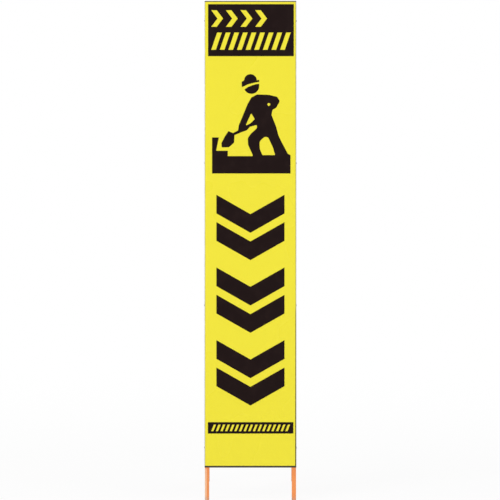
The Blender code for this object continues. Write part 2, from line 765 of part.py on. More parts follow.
def stays(frame, stand, zinc, helper):
    pin_place = (STAY_PIN_DEPTH, HINGE_HEIGHT - STAY_PIN_DROP)
    pivot_place = (STAND_DEPTH, -STAY_PIVOT_DROP)
    for label, side in SIDES:
        pivot = empty(f"{label}_stay_pivot", (0, *pivot_place), STAY_OPEN_ANGLE, stand)
        stay(label, side, pivot, zinc, helper)
        stay_rivet(f"{label}_stay_slide_pin", side, pin_place, frame, zinc)
        washer(f"{label}_slide_pin_washer", side, pin_place, frame, zinc)
        stay_rivet(f"{label}_stay_pivot_rivet", side, pivot_place, stand, zinc)
        washer(f"{label}_pivot_washer", side, pivot_place, stand, zinc)


def build():
    clear_scene()
    paint = material("orange_paint", (0.90, 0.31, 0.10), 0.42, 0.0)
    zinc = material("galvanised_steel", (0.56, 0.57, 0.58), 0.38, 0.9)
    yellow = material("yellow_film", (0.88, 0.78, 0.055), 0.35, 0.0)
    ink = material("black_ink", (0.017, 0.010, 0.008), 0.4, 0.0)
    helper = material("helper", (0.5, 0.5, 0.5), 0.5, 0.0)

    frame = empty("front_frame_lean", (0, FOOT_Y, 0), -LEAN)
    front_hinge = empty("hinge_axis_on_frame", (0, HINGE_DEPTH, HINGE_HEIGHT), 0, frame)
    stand = empty("rear_stand_hinge_axis", (0, FOOT_Y + HINGE_Y, HINGE_Z), PROP)

    front_frame(frame, paint, zinc, helper)
    side_rivets(frame, zinc)
    reflective_film(frame, yellow)
    header_print(frame, ink)
    worker_prints(frame, ink)
    chevron_prints(frame, ink)
    footer_print(frame, ink)
    hinges(front_hinge, stand, paint, zinc, helper)
    rear_stand(stand, paint, helper)
    stays(frame, stand, zinc, helper)
    apply_modifiers()


build()
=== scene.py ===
import json
import math

import bmesh
import bpy
from mathutils import Matrix, Vector


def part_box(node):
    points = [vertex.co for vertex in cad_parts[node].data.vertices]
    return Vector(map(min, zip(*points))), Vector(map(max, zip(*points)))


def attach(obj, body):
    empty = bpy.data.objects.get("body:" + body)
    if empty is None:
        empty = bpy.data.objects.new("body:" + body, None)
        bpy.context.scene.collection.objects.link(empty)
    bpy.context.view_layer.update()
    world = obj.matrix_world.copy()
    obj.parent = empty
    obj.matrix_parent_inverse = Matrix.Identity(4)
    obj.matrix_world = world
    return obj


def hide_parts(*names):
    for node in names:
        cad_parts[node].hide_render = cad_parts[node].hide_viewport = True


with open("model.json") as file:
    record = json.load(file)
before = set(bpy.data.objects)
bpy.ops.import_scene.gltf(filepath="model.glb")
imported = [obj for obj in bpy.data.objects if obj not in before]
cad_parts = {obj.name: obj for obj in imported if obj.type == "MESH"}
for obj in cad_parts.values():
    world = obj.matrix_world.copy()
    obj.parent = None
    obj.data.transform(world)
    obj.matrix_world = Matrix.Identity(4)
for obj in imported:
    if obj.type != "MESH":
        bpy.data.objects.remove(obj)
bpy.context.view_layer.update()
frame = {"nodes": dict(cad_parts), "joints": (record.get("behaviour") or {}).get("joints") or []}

# Uprights. Each is a leg and one side of the front frame: 13 mm square steel tube with a 1.2 mm
# wall, cut flat for the ground and mitred for the top rail. The frame is drilled for the face's
# rivets and the stays' pins, welded, primed and sprayed with orange enamel.
LEAN = math.radians(8)
GAP = 0.0003
TUBE = 0.013
TUBE_WALL = 0.0012
TUBE_CORNER = 0.002
TUBE_CORNER_STEPS = 6
TUBE_CUT_EDGE = 0.00018
DRILL_SIDES = 24
SPARE = 0.010
PANEL_WIDTH = 0.275
PANEL_HEIGHT = 1.400
PANEL_FOOT = 0.100
SHEET = 0.0005
UPRIGHT_X = PANEL_WIDTH / 2 - SHEET - GAP - TUBE / 2
INNER_X = UPRIGHT_X - TUBE / 2
FRAME_TOP = PANEL_FOOT + PANEL_HEIGHT - SHEET - GAP
SNUG = 0.00002
HINGE_AXIS_HEIGHT = 1.1535
STAY_PIN_DROP = 0.340
STAY_PIN_OFFSET = 0.001
STAY_RIVET_RADIUS = 0.002
SIDE_RIVETS = 4
SIDE_RIVET_MARGIN = 0.060
SIDE_RIVET_RADIUS = 0.0016
ALONG = 0.9
SMOOTH_BELOW = math.radians(32)
SOFTEN_ABOVE = math.radians(50)
SIDES = (("left", -1), ("right", 1))

front_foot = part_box("left_upright")[0].y
front_frame = Matrix.Translation((0, front_foot, 0)) @ Matrix.Rotation(-LEAN, 4, "X")
first_rivet = PANEL_FOOT + SIDE_RIVET_MARGIN
rivet_step = (PANEL_HEIGHT - 2 * SIDE_RIVET_MARGIN) / (SIDE_RIVETS - 1)
side_rivet_heights = [first_rivet + rivet_step * n for n in range(SIDE_RIVETS)]


def deselect_all():
    bpy.ops.object.select_all(action="DESELECT")


def take_up(piece):
    """Makes the piece the only one that an operator acts on."""
    deselect_all()
    piece.select_set(True)
    bpy.context.view_layer.objects.active = piece


def name_it(name):
    """Names the new primitive, and puts its size and place into its mesh."""
    piece = bpy.context.object
    piece.name = piece.data.name = name
    bpy.ops.object.transform_apply()
    return piece


def new_block(name, middle, size):
    deselect_all()
    bpy.ops.mesh.primitive_cube_add(size=1, location=middle, scale=size)
    return name_it(name)


def switch_to(mode):
    bpy.ops.object.mode_set(mode=mode)


def pick_faces(piece, wanted):
    """Selects, in edit mode, the faces whose middle and normal are wanted."""
    bpy.ops.mesh.select_mode(type="FACE")
    bpy.ops.mesh.select_all(action="DESELECT")
    mesh = bmesh.from_edit_mesh(piece.data)
    for face in mesh.faces:
        face.select_set(wanted(face.calc_center_median(), face.normal))
    bmesh.update_edit_mesh(piece.data)


def pick_edges(piece, wanted):
    """Selects, in edit mode, the edges whose middle and direction are wanted."""
    bpy.ops.mesh.select_mode(type="EDGE")
    bpy.ops.mesh.select_all(action="DESELECT")
    mesh = bmesh.from_edit_mesh(piece.data)
    for edge in mesh.edges:
        start, end = (point.co for point in edge.verts)
        edge.select_set(wanted((start + end) / 2, (end - start).normalized()))
    bmesh.update_edit_mesh(piece.data)


def use_modifier(piece, kind, **settings):
    """Adds a modifier to the piece and applies it."""
    take_up(piece)
    modifier = piece.modifiers.new(kind.lower(), kind)
    for setting, value in settings.items():
        setattr(modifier, setting, value)
    bpy.ops.object.modifier_apply(modifier=modifier.name)


def cut_away(piece, cutter):
    """Takes the cutter's shape out of the piece, and then the cutter away."""
    use_modifier(piece, "BOOLEAN", operation="DIFFERENCE", solver="EXACT", object=cutter)
    bpy.data.objects.remove(cutter)


def slice_through(point, away, **settings):
    """Cuts the whole mesh, in edit mode, at the plane through the point."""
    bpy.ops.mesh.select_all(action="SELECT")
    bpy.ops.mesh.bisect(plane_co=point, plane_no=away, **settings)


def drill(piece, middles, rivet_radius, depth=4 * TUBE_WALL):
    """Marks off the metal at each middle, and bores a rivet's holes along X there in one cut."""
    radius = rivet_radius + GAP
    take_up(piece)
    switch_to("EDIT")
    ends = {middle[2] + end for middle in middles for end in (-2 * radius, 2 * radius)}
    for height in sorted(ends):
        slice_through((0, 0, height), (0, 0, 1))
    switch_to("OBJECT")
    bits = []
    bore = {"radius": radius, "depth": depth, "rotation": (0, math.pi / 2, 0)}
    for middle in middles:
        deselect_all()
        bpy.ops.mesh.primitive_cylinder_add(vertices=DRILL_SIDES, location=middle, **bore)
        bits.append(bpy.context.object)
    for bit in bits:
        bit.select_set(True)
    if len(bits) > 1:
        bpy.ops.object.join()
    cut_away(piece, name_it("drill_bits"))


def soften_edges(piece, width, steps=2):
    """Breaks the sharp edges, as a file or a wire brush does."""
    limits = {"limit_method": "ANGLE", "angle_limit": SOFTEN_ABOVE}
    use_modifier(piece, "BEVEL", width=width, segments=steps, **limits)


def square_tube(name, low, high, cuts):
    """Square tube along its own Z from low to high, sawn at each (point, direction cut off)."""
    tube = new_block(name, (0, 0, (low + high) / 2), (TUBE, TUBE, high - low))
    switch_to("EDIT")
    pick_edges(tube, lambda middle, way: abs(way.z) > ALONG)
    bpy.ops.mesh.bevel(offset=TUBE_CORNER, segments=TUBE_CORNER_STEPS)
    pick_faces(tube, lambda middle, normal: abs(normal.z) > ALONG)
    bpy.ops.mesh.inset(thickness=TUBE_WALL)
    bpy.ops.mesh.bridge_edge_loops()
    for point, away in cuts:
        slice_through(point, away, use_fill=True, clear_outer=True)
    switch_to("OBJECT")
    return tube


def moved(place, x, y, z):
    """The place, moved along its own axes."""
    return place @ Matrix.Translation((x, y, z))


def stand_in_place(piece, place, finish, body, slot, *nodes):
    """Puts the finished piece in its place, with its material, on the body that carries it."""
    take_up(piece)
    piece.matrix_world = place
    bpy.ops.object.transform_apply()
    bpy.ops.object.shade_smooth_by_angle(angle=SMOOTH_BELOW)
    use_modifier(piece, "WEIGHTED_NORMAL", keep_sharp=True)
    piece.data.materials.clear()
    piece.data.materials.append(finish)
    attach(piece, body)
    if nodes:
        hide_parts(*nodes)


def put(socket, value):
    """Joins another node's output to the socket, or sets the socket to a plain value."""
    if isinstance(value, bpy.types.NodeSocket):
        socket.id_data.links.new(value, socket)
    else:
        socket.default_value = value


def adder(tree):
    """A function that adds a node to the tree, with its inputs and settings, and returns it."""

    def add(kind, *inputs, **settings):
        node = tree.nodes.new("ShaderNode" + kind)
        for setting, value in settings.items():
            setattr(node, setting, value)
        for place, value in inputs:
            put(node.inputs[place], value)
        return node

    return add


def new_finish(name, metallic=0.0):
    """A new material, what adds a node to it, and what feeds a socket of its shader."""
    made = bpy.data.materials.new(name)
    made.use_nodes = True
    shader = made.node_tree.nodes["Principled BSDF"]

    def feed(socket, value):
        put(shader.inputs[socket], value)

    feed("Metallic", metallic)
    return made, adder(made.node_tree), feed


def own_place(add, place):
    """Object coordinates turned into the piece's own frame."""
    where = ("Vector", add("TexCoord").outputs["Object"])
    moves = (("Location", place.to_translation()), ("Rotation", place.to_euler()))
    return add("Mapping", where, *moves, vector_type="TEXTURE").outputs["Vector"]


def maths(add, operation, first, second=0.0):
    return add("Math", (0, first), (1, second), operation=operation).outputs[0]


def plus(add, first, second):
    return maths(add, "ADD", first, second)


def times(add, first, second):
    return maths(add, "MULTIPLY", first, second)


def summed(add, total, *shares):
    """The total plus each (share, pattern)'s pattern times its share."""
    for share, pattern in shares:
        total = plus(add, times(add, pattern, share), total)
    return total


def split(add, vector):
    return add("SeparateXYZ", ("Vector", vector)).outputs


def fade(add, value, start, end, low=0.0, high=1.0):
    """Goes smoothly from low to high as the value goes from start to end."""
    if start > end:
        start, end, low, high = end, start, high, low
    ends = (("From Min", start), ("From Max", end), ("To Min", low), ("To Max", high))
    node = add("MapRange", ("Value", value), *ends, interpolation_type="SMOOTHSTEP")
    return node.outputs["Result"]


def mottle(add, vector, size, seed=0.0, detail=2.0, stretch=(1, 1, 1)):
    """Soft random spots about that size across, drawn out along an axis by its stretch."""
    scale = tuple(1 / (size * factor) for factor in stretch)
    squeezed = add("Mapping", ("Vector", vector), ("Scale", scale)).outputs["Vector"]
    inputs = (("Vector", squeezed), ("W", seed), ("Scale", 1.0), ("Detail", detail))
    return add("TexNoise", *inputs, noise_dimensions="4D").outputs["Fac"]


def mixed(add, share, first, second):
    """The first colour where share is 0 and the second where it is 1."""
    node = add("Mix", ("Factor", share), data_type="RGBA")
    # The node's colours are its inputs 6 and 7, and its output 2.
    for place, colour in ((6, first), (7, second)):
        plain = not isinstance(colour, bpy.types.NodeSocket)
        put(node.inputs[place], (*colour, 1) if plain else colour)
    return node.outputs[2]


def raised(add, *heights):
    """A bump from pairs of a height in millimetres and the pattern that it scales."""
    height = summed(add, 0.0, *heights)
    return add("Bump", ("Distance", 0.001), ("Height", height)).outputs["Normal"]


ORANGE = (0.880, 0.285, 0.070)
ORANGE_DEEP = (0.815, 0.240, 0.054)
# Pale orange of the painted highlight on the left leg's outer front edge.
ORANGE_HIGHLIGHT = (0.900, 0.540, 0.330)
PRIMER = (0.200, 0.150, 0.125)
BARE_STEEL = (0.33, 0.32, 0.31)
GROUND_DUST = (0.46, 0.40, 0.33)
CHIP = 0.0021
CHIPPED = (0.795, 0.812)
WORN_THROUGH = (0.826, 0.842)
CORNER_WEAR = 0.085
CORNER_BAND = (0.0023, 0.0007)
FOOT_WEAR = 0.150
FOOT_BAND = (0.034, 0.001)
PATCH_WEAR = 0.110
WORN_PATCH = 0.030
SHADE_CLOUD = 0.085
GLOSS_CLOUD = 0.018
DUST_GRAIN = 0.009
DUST_HEIGHT = 0.016
ORANGE_PEEL = 0.0016
PAINT_SAG = 0.004
# Where the painted highlight strip lies across and up the leg, and how strong it is on the left
# leg.
HIGHLIGHT_BAND = (0.0012, -0.0026)
HIGHLIGHT_TOP = (0.099, 0.092)
LEFT_LEG_HIGHLIGHT = 0.9


def orange_paint(name, place, seed, highlight=0.0):
    """Sprayed enamel with orange peel and faint sags, chipped on corners and worn at the foot.

    Seed is any number, so that no two are alike. The last argument is how strongly a painted
    highlight, a paler orange strip, lies on a leg's outer front edge.
    """
    made, add, feed = new_finish(name)
    here = own_place(add, place)
    x, y, _ = split(add, here)
    above_ground = split(add, add("TexCoord").outputs["Object"])[2]

    across = maths(add, "MINIMUM", maths(add, "ABSOLUTE", x), maths(add, "ABSOLUTE", y))
    on_corner = fade(add, across, *(TUBE / 2 - inset for inset in CORNER_BAND))
    at_foot = fade(add, above_ground, *FOOT_BAND)
    spots = mottle(add, here, CHIP, seed, detail=4.0)
    patches = mottle(add, here, WORN_PATCH, seed + 1)
    wear = ((CORNER_WEAR, on_corner), (FOOT_WEAR, at_foot), (PATCH_WEAR, patches))
    likely = summed(add, spots, *wear)
    chipped = fade(add, likely, *CHIPPED)
    worn_through = fade(add, likely, *WORN_THROUGH)

    shade = mottle(add, here, SHADE_CLOUD, seed + 2)
    colour = mixed(add, fade(add, shade, 0.30, 0.70), ORANGE_DEEP, ORANGE)
    # Painted highlight: a paler orange strip down the leg's outer front edge, as if lit from the
    # left.
    if highlight:
        edge = fade(add, x, *HIGHLIGHT_BAND)
        edge = times(add, edge, fade(add, above_ground, *HIGHLIGHT_TOP))
        edge = times(add, edge, fade(add, patches, 0.2, 0.5, 0.6, 1.0))
        colour = mixed(add, times(add, edge, highlight), colour, ORANGE_HIGHLIGHT)
    dust = mottle(add, here, DUST_GRAIN, seed + 3)
    dust = times(add, fade(add, above_ground, DUST_HEIGHT, 0.0), dust)
    colour = mixed(add, times(add, dust, 0.75), colour, GROUND_DUST)
    colour = mixed(add, chipped, colour, PRIMER)
    feed("Base Color", mixed(add, worn_through, colour, BARE_STEEL))
    feed("Metallic", times(add, worn_through, 0.9))

    cloud = mottle(add, here, GLOSS_CLOUD, seed + 4)
    gloss = fade(add, cloud, 0.25, 0.75, 0.27, 0.40)
    feed("Roughness", summed(add, gloss, (0.5, dust), (0.2, chipped)))
    peel = mottle(add, here, ORANGE_PEEL, seed + 5, detail=1.0)
    sags = mottle(add, here, PAINT_SAG, seed + 6, stretch=(1, 1, 5))
    feed("Normal", raised(add, (0.045, peel), (0.06, sags), (-0.09, chipped)))
    feed("Coat Weight", 0.15)
    feed("Coat Roughness", 0.12)
    return made


for label, side in SIDES:
    floor_cut = ((0, -TUBE / 2, 0), (0, math.sin(LEAN), -math.cos(LEAN)))
    mitre_cut = ((0, 0, FRAME_TOP - SNUG - TUBE / 2), (-side, 0, 1))
    cuts = [floor_cut, mitre_cut]
    upright = square_tube(f"{label}_upright_tube", -SPARE, FRAME_TOP + SPARE, cuts)
    rivet_holes = [(side * TUBE / 2, 0, height) for height in side_rivet_heights]
    drill(upright, rivet_holes, SIDE_RIVET_RADIUS)
    pin_hole = (-side * TUBE / 2, STAY_PIN_OFFSET, HINGE_AXIS_HEIGHT - STAY_PIN_DROP)
    drill(upright, [pin_hole], STAY_RIVET_RADIUS)
    soften_edges(upright, TUBE_CUT_EDGE)
    place = moved(front_frame, side * UPRIGHT_X, TUBE / 2, 0)
    # Only the left leg carries the painted highlight strip.
    highlight = LEFT_LEG_HIGHLIGHT if side < 0 else 0.0
    enamel = orange_paint(f"{label}_upright_enamel", place, 10.0 + side, highlight)
    stand_in_place(upright, place, enamel, "front_frame", "orange_paint", f"{label}_upright")

# Rails of the front frame. Four lengths of the same tube are welded square between the uprights,
# and the top rail is mitred to them. The face lies on their fronts, and the hinges sit on the
# topmost of the four.
HINGE_RAIL_TOP = 1.150
FOLD_GAP = 0.003
STAND_DEPTH = FOLD_GAP / 2 + TUBE / 2
STAY_PIVOT_DROP = 0.060
STAY_END_WALL = 0.004
STAYS_TO_MIDDLE_RAIL = 0.0195
RAIL_TURN = Matrix.Rotation(math.pi / 2, 4, "Y")

stand_joint, left_stay_joint = (
    next(joint for joint in frame["joints"] if joint["name"] == name)
    for name in ("stand_fold", "left_stay_swing")
)
hinge_place = Vector(stand_joint["pos_m"])
pivot_place = Vector(left_stay_joint["pos_m"])
pin_depth = TUBE / 2 + STAY_PIN_OFFSET
stay_pin = front_frame @ Vector((0, pin_depth, HINGE_AXIS_HEIGHT - STAY_PIN_DROP))
stay_run = stay_pin.y - pivot_place.y
stay_drop = pivot_place.z - stay_pin.z
stay_reach_open = math.hypot(stay_run, stay_drop)
stay_end = stay_reach_open + STAY_RIVET_RADIUS + GAP + STAY_END_WALL

bottom_rail = PANEL_FOOT + SHEET + GAP + TUBE / 2
middle_rail = HINGE_AXIS_HEIGHT - STAY_PIVOT_DROP - stay_end - STAYS_TO_MIDDLE_RAIL - TUBE / 2
rail_heights = {
    "bottom_rail": bottom_rail,
    "lower_rail": (bottom_rail + middle_rail) / 2,
    "middle_rail": middle_rail,
    "hinge_rail": HINGE_RAIL_TOP - TUBE / 2,
}


def new_object(name, data):
    made = bpy.data.objects.new(name, data)
    bpy.context.scene.collection.objects.link(made)
    return made


def copy_of(piece, name):
    """Another of the same, with its own mesh."""
    twin = new_object(name, piece.data.copy())
    twin.data.name = name
    return twin


def lay_across(tube, node, ground, depth, height, body, seed):
    """Lays a copy of the tube across the frame, with its own X pointing down."""
    place = moved(ground, 0, depth, height) @ RAIL_TURN
    enamel = orange_paint(f"{node}_enamel", place, seed)
    stand_in_place(copy_of(tube, f"{node}_tube"), place, enamel, body, "orange_paint", node)


square_cut = square_tube("square_cut_tube", -INNER_X + SNUG, INNER_X - SNUG, [])
soften_edges(square_cut, TUBE_CUT_EDGE)
for seed, (node, height) in enumerate(rail_heights.items(), 20):
    lay_across(square_cut, node, front_frame, TUBE / 2, height, "front_frame", seed)

rail_half = UPRIGHT_X - SNUG
mitres = [((0, 0, rail_half), (1, 0, 1)), ((0, 0, -rail_half), (1, 0, -1))]
mitred = square_tube("mitred_tube", -rail_half - SPARE, rail_half + SPARE, mitres)
soften_edges(mitred, TUBE_CUT_EDGE)
lay_across(mitred, "top_rail", front_frame, TUBE / 2, FRAME_TOP - TUBE / 2, "front_frame", 30.0)

# Welds of the front frame. Each joint has a bead of MIG weld on the sides that the welder can
# reach, laid in small ripples and painted over with the tube. The front is ground flush for the
# face, and so is what the face's edges fold round.
BEAD = 0.00115
BEAD_SINK = 0.00035
BEAD_STEP = 0.00025
BEAD_CORNER = 0.0024
BEAD_CORNER_STEPS = 5
BEAD_END_MARGIN = 0.0012
BEAD_END_STEPS = 4
RIPPLE = 0.07
RIPPLE_PACE = 1.9
UNEVEN = 0.06
UNEVEN_PACE = 0.73
MERGE = 0.00001


def merge_points(within=MERGE):
    """Joins, in edit mode, the points that lie closer together than that."""
    bpy.ops.mesh.select_all(action="SELECT")
    bpy.ops.mesh.remove_doubles(threshold=within)


def eased(corners, radius):
    """The line through these corners, with a curve at each that starts and ends a radius away."""
    line = [Vector(corners[0])]
    for before, here, after in zip(corners, corners[1:], corners[2:]):
        here = Vector(here)
        start = here + (Vector(before) - here).normalized() * radius
        end = here + (Vector(after) - here).normalized() * radius
        for n in range(BEAD_CORNER_STEPS + 1):
            share = n / BEAD_CORNER_STEPS
            line.append(start.lerp(here, share).lerp(here.lerp(end, share), share))
    line.append(Vector(corners[-1]))
    return line


def paced(line, step):
    """Points a step apart along the line."""
    points = [line[0]]
    left = step
    for start, end in zip(line, line[1:]):
        length = (end - start).length
        done = 0.0
        while length - done >= left:
            done += left
            points.append(start.lerp(end, done / length))
            left = step
        left -= length - done
    return points


def swell(n, last):
    """How thick the bead is at point n: a dab of the torch every 0.8 mm or so, and thin ends."""
    ends = min(1.0, (min(n, last - n) + 1) / BEAD_END_STEPS)
    ripple = RIPPLE * math.sin(RIPPLE_PACE * n)
    return math.sqrt(ends) * (1 + ripple + UNEVEN * math.sin(UNEVEN_PACE * n + 1))


def weld_bead(name, corners, width):
    """A rippled bead along the line through the corners."""
    deselect_all()
    bpy.ops.curve.primitive_bezier_curve_add()
    bead = bpy.context.object
    bead.name = bead.data.name = name
    bead.data.splines.clear()
    run = bead.data.splines.new("POLY")
    points = paced(eased(corners, BEAD_CORNER), BEAD_STEP)
    run.points.add(len(points) - 1)
    for n, (knot, point) in enumerate(zip(run.points, points)):
        knot.co = (*point, 1)
        knot.radius = swell(n, len(points) - 1)
    bead.data.bevel_depth = width
    bead.data.bevel_resolution = 1
    bead.data.use_fill_caps = True
    bpy.ops.object.convert(target="MESH")
    switch_to("EDIT")
    merge_points()
    bpy.ops.mesh.normals_make_consistent()
    switch_to("OBJECT")
    return bpy.context.object


def put_away(*models):
    """Removes the models that only the copies needed."""
    for model in models:
        bpy.data.objects.remove(model)


def lay_weld(bead, name, place, enamel, body):
    stand_in_place(copy_of(bead, name), place, enamel, body, "orange_paint")


weld_reach = TUBE / 2 - BEAD_SINK
weld_start = BEAD_END_MARGIN - TUBE / 2
corner_below = (0, weld_reach, -weld_reach)
corner_above = (0, weld_reach, weld_reach)
end_above = (0, weld_start, weld_reach)
three_sides = [(0, weld_start, -weld_reach), corner_below, corner_above, end_above]
two_sides = [(0, weld_reach, BEAD_END_MARGIN - weld_reach), corner_above, end_above]
mitre_end = weld_reach - BEAD_END_MARGIN / 2
over_mitre = [(-weld_reach, weld_start), (-weld_reach, weld_reach), (mitre_end, weld_reach)]
three_side_bead = weld_bead("three_side_bead", three_sides, BEAD)
two_side_bead = weld_bead("two_side_bead", two_sides, BEAD)
front_enamel = orange_paint("front_weld_enamel", front_frame, 40.0)
for label, side in SIDES:
    for node, height in rail_heights.items():
        bead = two_side_bead if node == "bottom_rail" else three_side_bead
        place = moved(front_frame, side * (INNER_X - BEAD_SINK), TUBE / 2, height)
        lay_weld(bead, f"{label}_{node}_weld", place, front_enamel, "front_frame")
    bead = weld_bead(f"{label}_top_rail_weld", [(side * u, v, u) for u, v in over_mitre], BEAD)
    place = moved(front_frame, side * UPRIGHT_X, TUBE / 2, FRAME_TOP - TUBE / 2)
    stand_in_place(bead, place, front_enamel, "front_frame", "orange_paint")
put_away(two_side_bead, three_side_bead)

# Face sheet. It is one 0.5 mm sheet of hot-dip galvanised steel whose four edges are folded back
# over the frame on a brake. Its corners are notched, the lower ones wide enough for the legs.
SHEET_RETURN = 0.0115
BEND_RADIUS = 0.0012
BEND_STEPS = 6
CORNER_SLIT = 0.0008
SHEET_BURR = 0.00008
SHEET_MERGE = 0.00005
TOUCHING = 1e-6
SHEET_BACK = -GAP
SHEET_FRONT = SHEET_BACK - SHEET
PANEL_TOP = PANEL_FOOT + PANEL_HEIGHT
ZINC_DARK = (0.215, 0.220, 0.225)
ZINC_LIGHT = (0.520, 0.528, 0.535)
SCRATCHED = (0.72, 0.73, 0.74)
# Near-black colour of the painted shade along the film's edges.
EDGE_SHADE = (0.022, 0.017, 0.012)
SPANGLE = 0.0085
SPANGLE_FEATHER = 0.0026
FEATHER_SCALE = 240.0
FROST = 0.0011
DULL_PATCH = 0.11
SCRATCH_ALONG = 0.00022
SCRATCH_ACROSS = 0.00025
ZINC_METALLIC = 0.92
FILM_SIDE_MARGIN = 0.0016
FILM_TOP_MARGIN = 0.0025
FILM_FOOT_MARGIN = 0.0035
# Bands of painted shade at the film's foot, top and lower right edge, and the heights it runs
# between.
EDGE_SHADE_AT_FOOT = (0.0024, 0.0014)
EDGE_SHADE_AT_TOP = (0.0009, 0.0003)
EDGE_SHADE_AT_SIDE = (0.0021, 0.0013)
EDGE_SHADE_DEPTH = (0.0030, 0.0006)
SIDE_SHADE_FROM = 0.560
SIDE_SHADE_DEEPEST = 0.120

film_foot = PANEL_FOOT + FILM_FOOT_MARGIN
film_top = PANEL_TOP - FILM_TOP_MARGIN
film_side = PANEL_WIDTH / 2 - FILM_SIDE_MARGIN


def painted_edge_shade(add, x, z, frost):
    """Painted shade: dark lines at the film's foot and top, and down its right edge below 0.56 m.
    """
    foot = fade(add, z, *(film_foot + inset for inset in EDGE_SHADE_AT_FOOT))
    top = fade(add, z, *(film_top - inset for inset in EDGE_SHADE_AT_TOP), 0.0, 0.85)
    right = fade(add, x, *(film_side - inset for inset in EDGE_SHADE_AT_SIDE))
    right = times(add, right, fade(add, z, SIDE_SHADE_FROM + 0.030, SIDE_SHADE_FROM, 0.15, 0.60))
    right = summed(add, right, (right, fade(add, z, SIDE_SHADE_FROM, SIDE_SHADE_DEEPEST, 0.0, 0.65)))
    edge = maths(add, "MAXIMUM", maths(add, "MAXIMUM", foot, top), right)
    return times(add, edge, fade(add, frost, 0.15, 0.60, 0.80, 1.0))


def galvanised(name, place):
    """Zinc: frosty crystals, dull patches, handling scratches, painted shade by the film's edge."""
    made, add, feed = new_finish(name, ZINC_METALLIC)
    here = own_place(add, place)
    x, y, z = split(add, here)
    noise = add("TexNoise", ("Vector", here), ("Scale", FEATHER_SCALE), ("Detail", 3.0))
    noise = noise.outputs["Color"]
    shift = add("VectorMath", (0, noise), ("Scale", SPANGLE_FEATHER), operation="SCALE").outputs[0]
    feathered = add("VectorMath", (0, here), (1, shift), operation="ADD").outputs[0]
    crystal = add("TexVoronoi", ("Vector", feathered), ("Scale", 1 / SPANGLE))
    tone = add("SeparateColor", ("Color", crystal.outputs["Color"])).outputs
    frost = mottle(add, here, FROST, detail=3.0)
    dull = mottle(add, here, DULL_PATCH, 3.0)
    along = mottle(add, here, SCRATCH_ALONG, 4.0, stretch=(1, 1, 130))
    across = mottle(add, here, SCRATCH_ACROSS, 5.0, stretch=(110, 1, 1))
    scratch = maths(add, "MAXIMUM", fade(add, along, 0.74, 0.78), fade(add, across, 0.76, 0.80))

    shine = summed(add, times(add, tone[0], 0.45), (0.55, frost))
    shine = times(add, shine, fade(add, dull, 0.30, 0.66, 0.62, 1.0))
    colour = mixed(add, shine, ZINC_DARK, ZINC_LIGHT)
    colour = mixed(add, times(add, scratch, 0.35), colour, SCRATCHED)

    # Painted shade: the sheet's thin margin round the film is darkened at its foot, top and lower
    # right.
    by_front = fade(add, y, *(SHEET_FRONT + depth for depth in EDGE_SHADE_DEPTH))
    edge_shade = times(add, painted_edge_shade(add, x, z, frost), by_front)
    feed("Base Color", mixed(add, edge_shade, colour, EDGE_SHADE))
    feed("Metallic", maths(add, "SUBTRACT", ZINC_METALLIC, times(add, edge_shade, 0.7)))
    feed("Roughness", fade(add, plus(add, tone[1], edge_shade), 0.0, 1.6, 0.30, 0.62))
    feed("Normal", raised(add, (0.020, tone[2]), (0.010, frost), (-0.012, scratch)))
    return made


back = SHEET_FRONT + SHEET_RETURN
middle = (0, (SHEET_FRONT + back) / 2, (PANEL_FOOT + PANEL_TOP) / 2)
sheet = new_block("face_sheet", middle, (PANEL_WIDTH, SHEET_RETURN, PANEL_HEIGHT))
switch_to("EDIT")
pick_faces(sheet, lambda middle, normal: normal.y > ALONG)
bpy.ops.mesh.delete(type="ONLY_FACE")
pick_edges(sheet, lambda middle, way: abs(middle.y - SHEET_FRONT) < TOUCHING)
bpy.ops.mesh.bevel(offset=BEND_RADIUS, segments=BEND_STEPS)
switch_to("OBJECT")
use_modifier(sheet, "SOLIDIFY", thickness=SHEET, offset=-1, use_even_offset=True)
return_inside = PANEL_WIDTH / 2 - SHEET
beyond = PANEL_WIDTH / 2 + SPARE
front_cut = SHEET_BACK + GAP / 2
notch_depth = back + SPARE - front_cut
notches = ((return_inside - CORNER_SLIT, PANEL_TOP), (INNER_X - 2 * GAP, PANEL_FOOT))
for side in (-1, 1):
    for inner, height in notches:
        middle = (side * (inner + beyond) / 2, (front_cut + back + SPARE) / 2, height)
        cut_away(sheet, new_block("notch", middle, (beyond - inner, notch_depth, 2 * BEND_RADIUS)))
holes = [(side * return_inside, TUBE / 2, z) for side in (-1, 1) for z in side_rivet_heights]
drill(sheet, holes, SIDE_RIVET_RADIUS)
switch_to("EDIT")
merge_points(SHEET_MERGE)
switch_to("OBJECT")
soften_edges(sheet, SHEET_BURR, 1)
zinc_coat = galvanised("galvanised_face", front_frame)
stand_in_place(sheet, front_frame, zinc_coat, "front_frame", "galvanised_sheet", "sign_sheet")

# Blind rivets. Eight zinc-plated steel pop rivets hold the sheet's side returns to the uprights.
# Each has a low domed flange with the broken mandrel sunk in its middle, and its tail is swollen
# inside the tube.
RIVET_FLANGE = 0.0034
RIVET_FLANGE_EDGE = 0.00025
RIVET_DOME = 0.0011
DOME_STEPS = 6
MANDREL = 0.0009
PIT_LIP = 0.00010
PIT_DEPTH = 0.00055
MANDREL_FOOT = 0.00050
MANDREL_BREAK = 0.00028
RIVET_TAIL = SHEET + TUBE_WALL + 3 * GAP
RIVET_SWELL = 0.0008
RIVET_SWELL_LENGTH = 0.0022
PLATE_DARK = (0.34, 0.34, 0.335)
PLATE_LIGHT = (0.66, 0.655, 0.63)
PLATE_TINT = (0.60, 0.575, 0.47)
DRAWN_LINE = 0.00012
PLATE_CLOUD = 0.006
PLATE_PIT = 0.0006
PLATE_METALLIC = 0.95


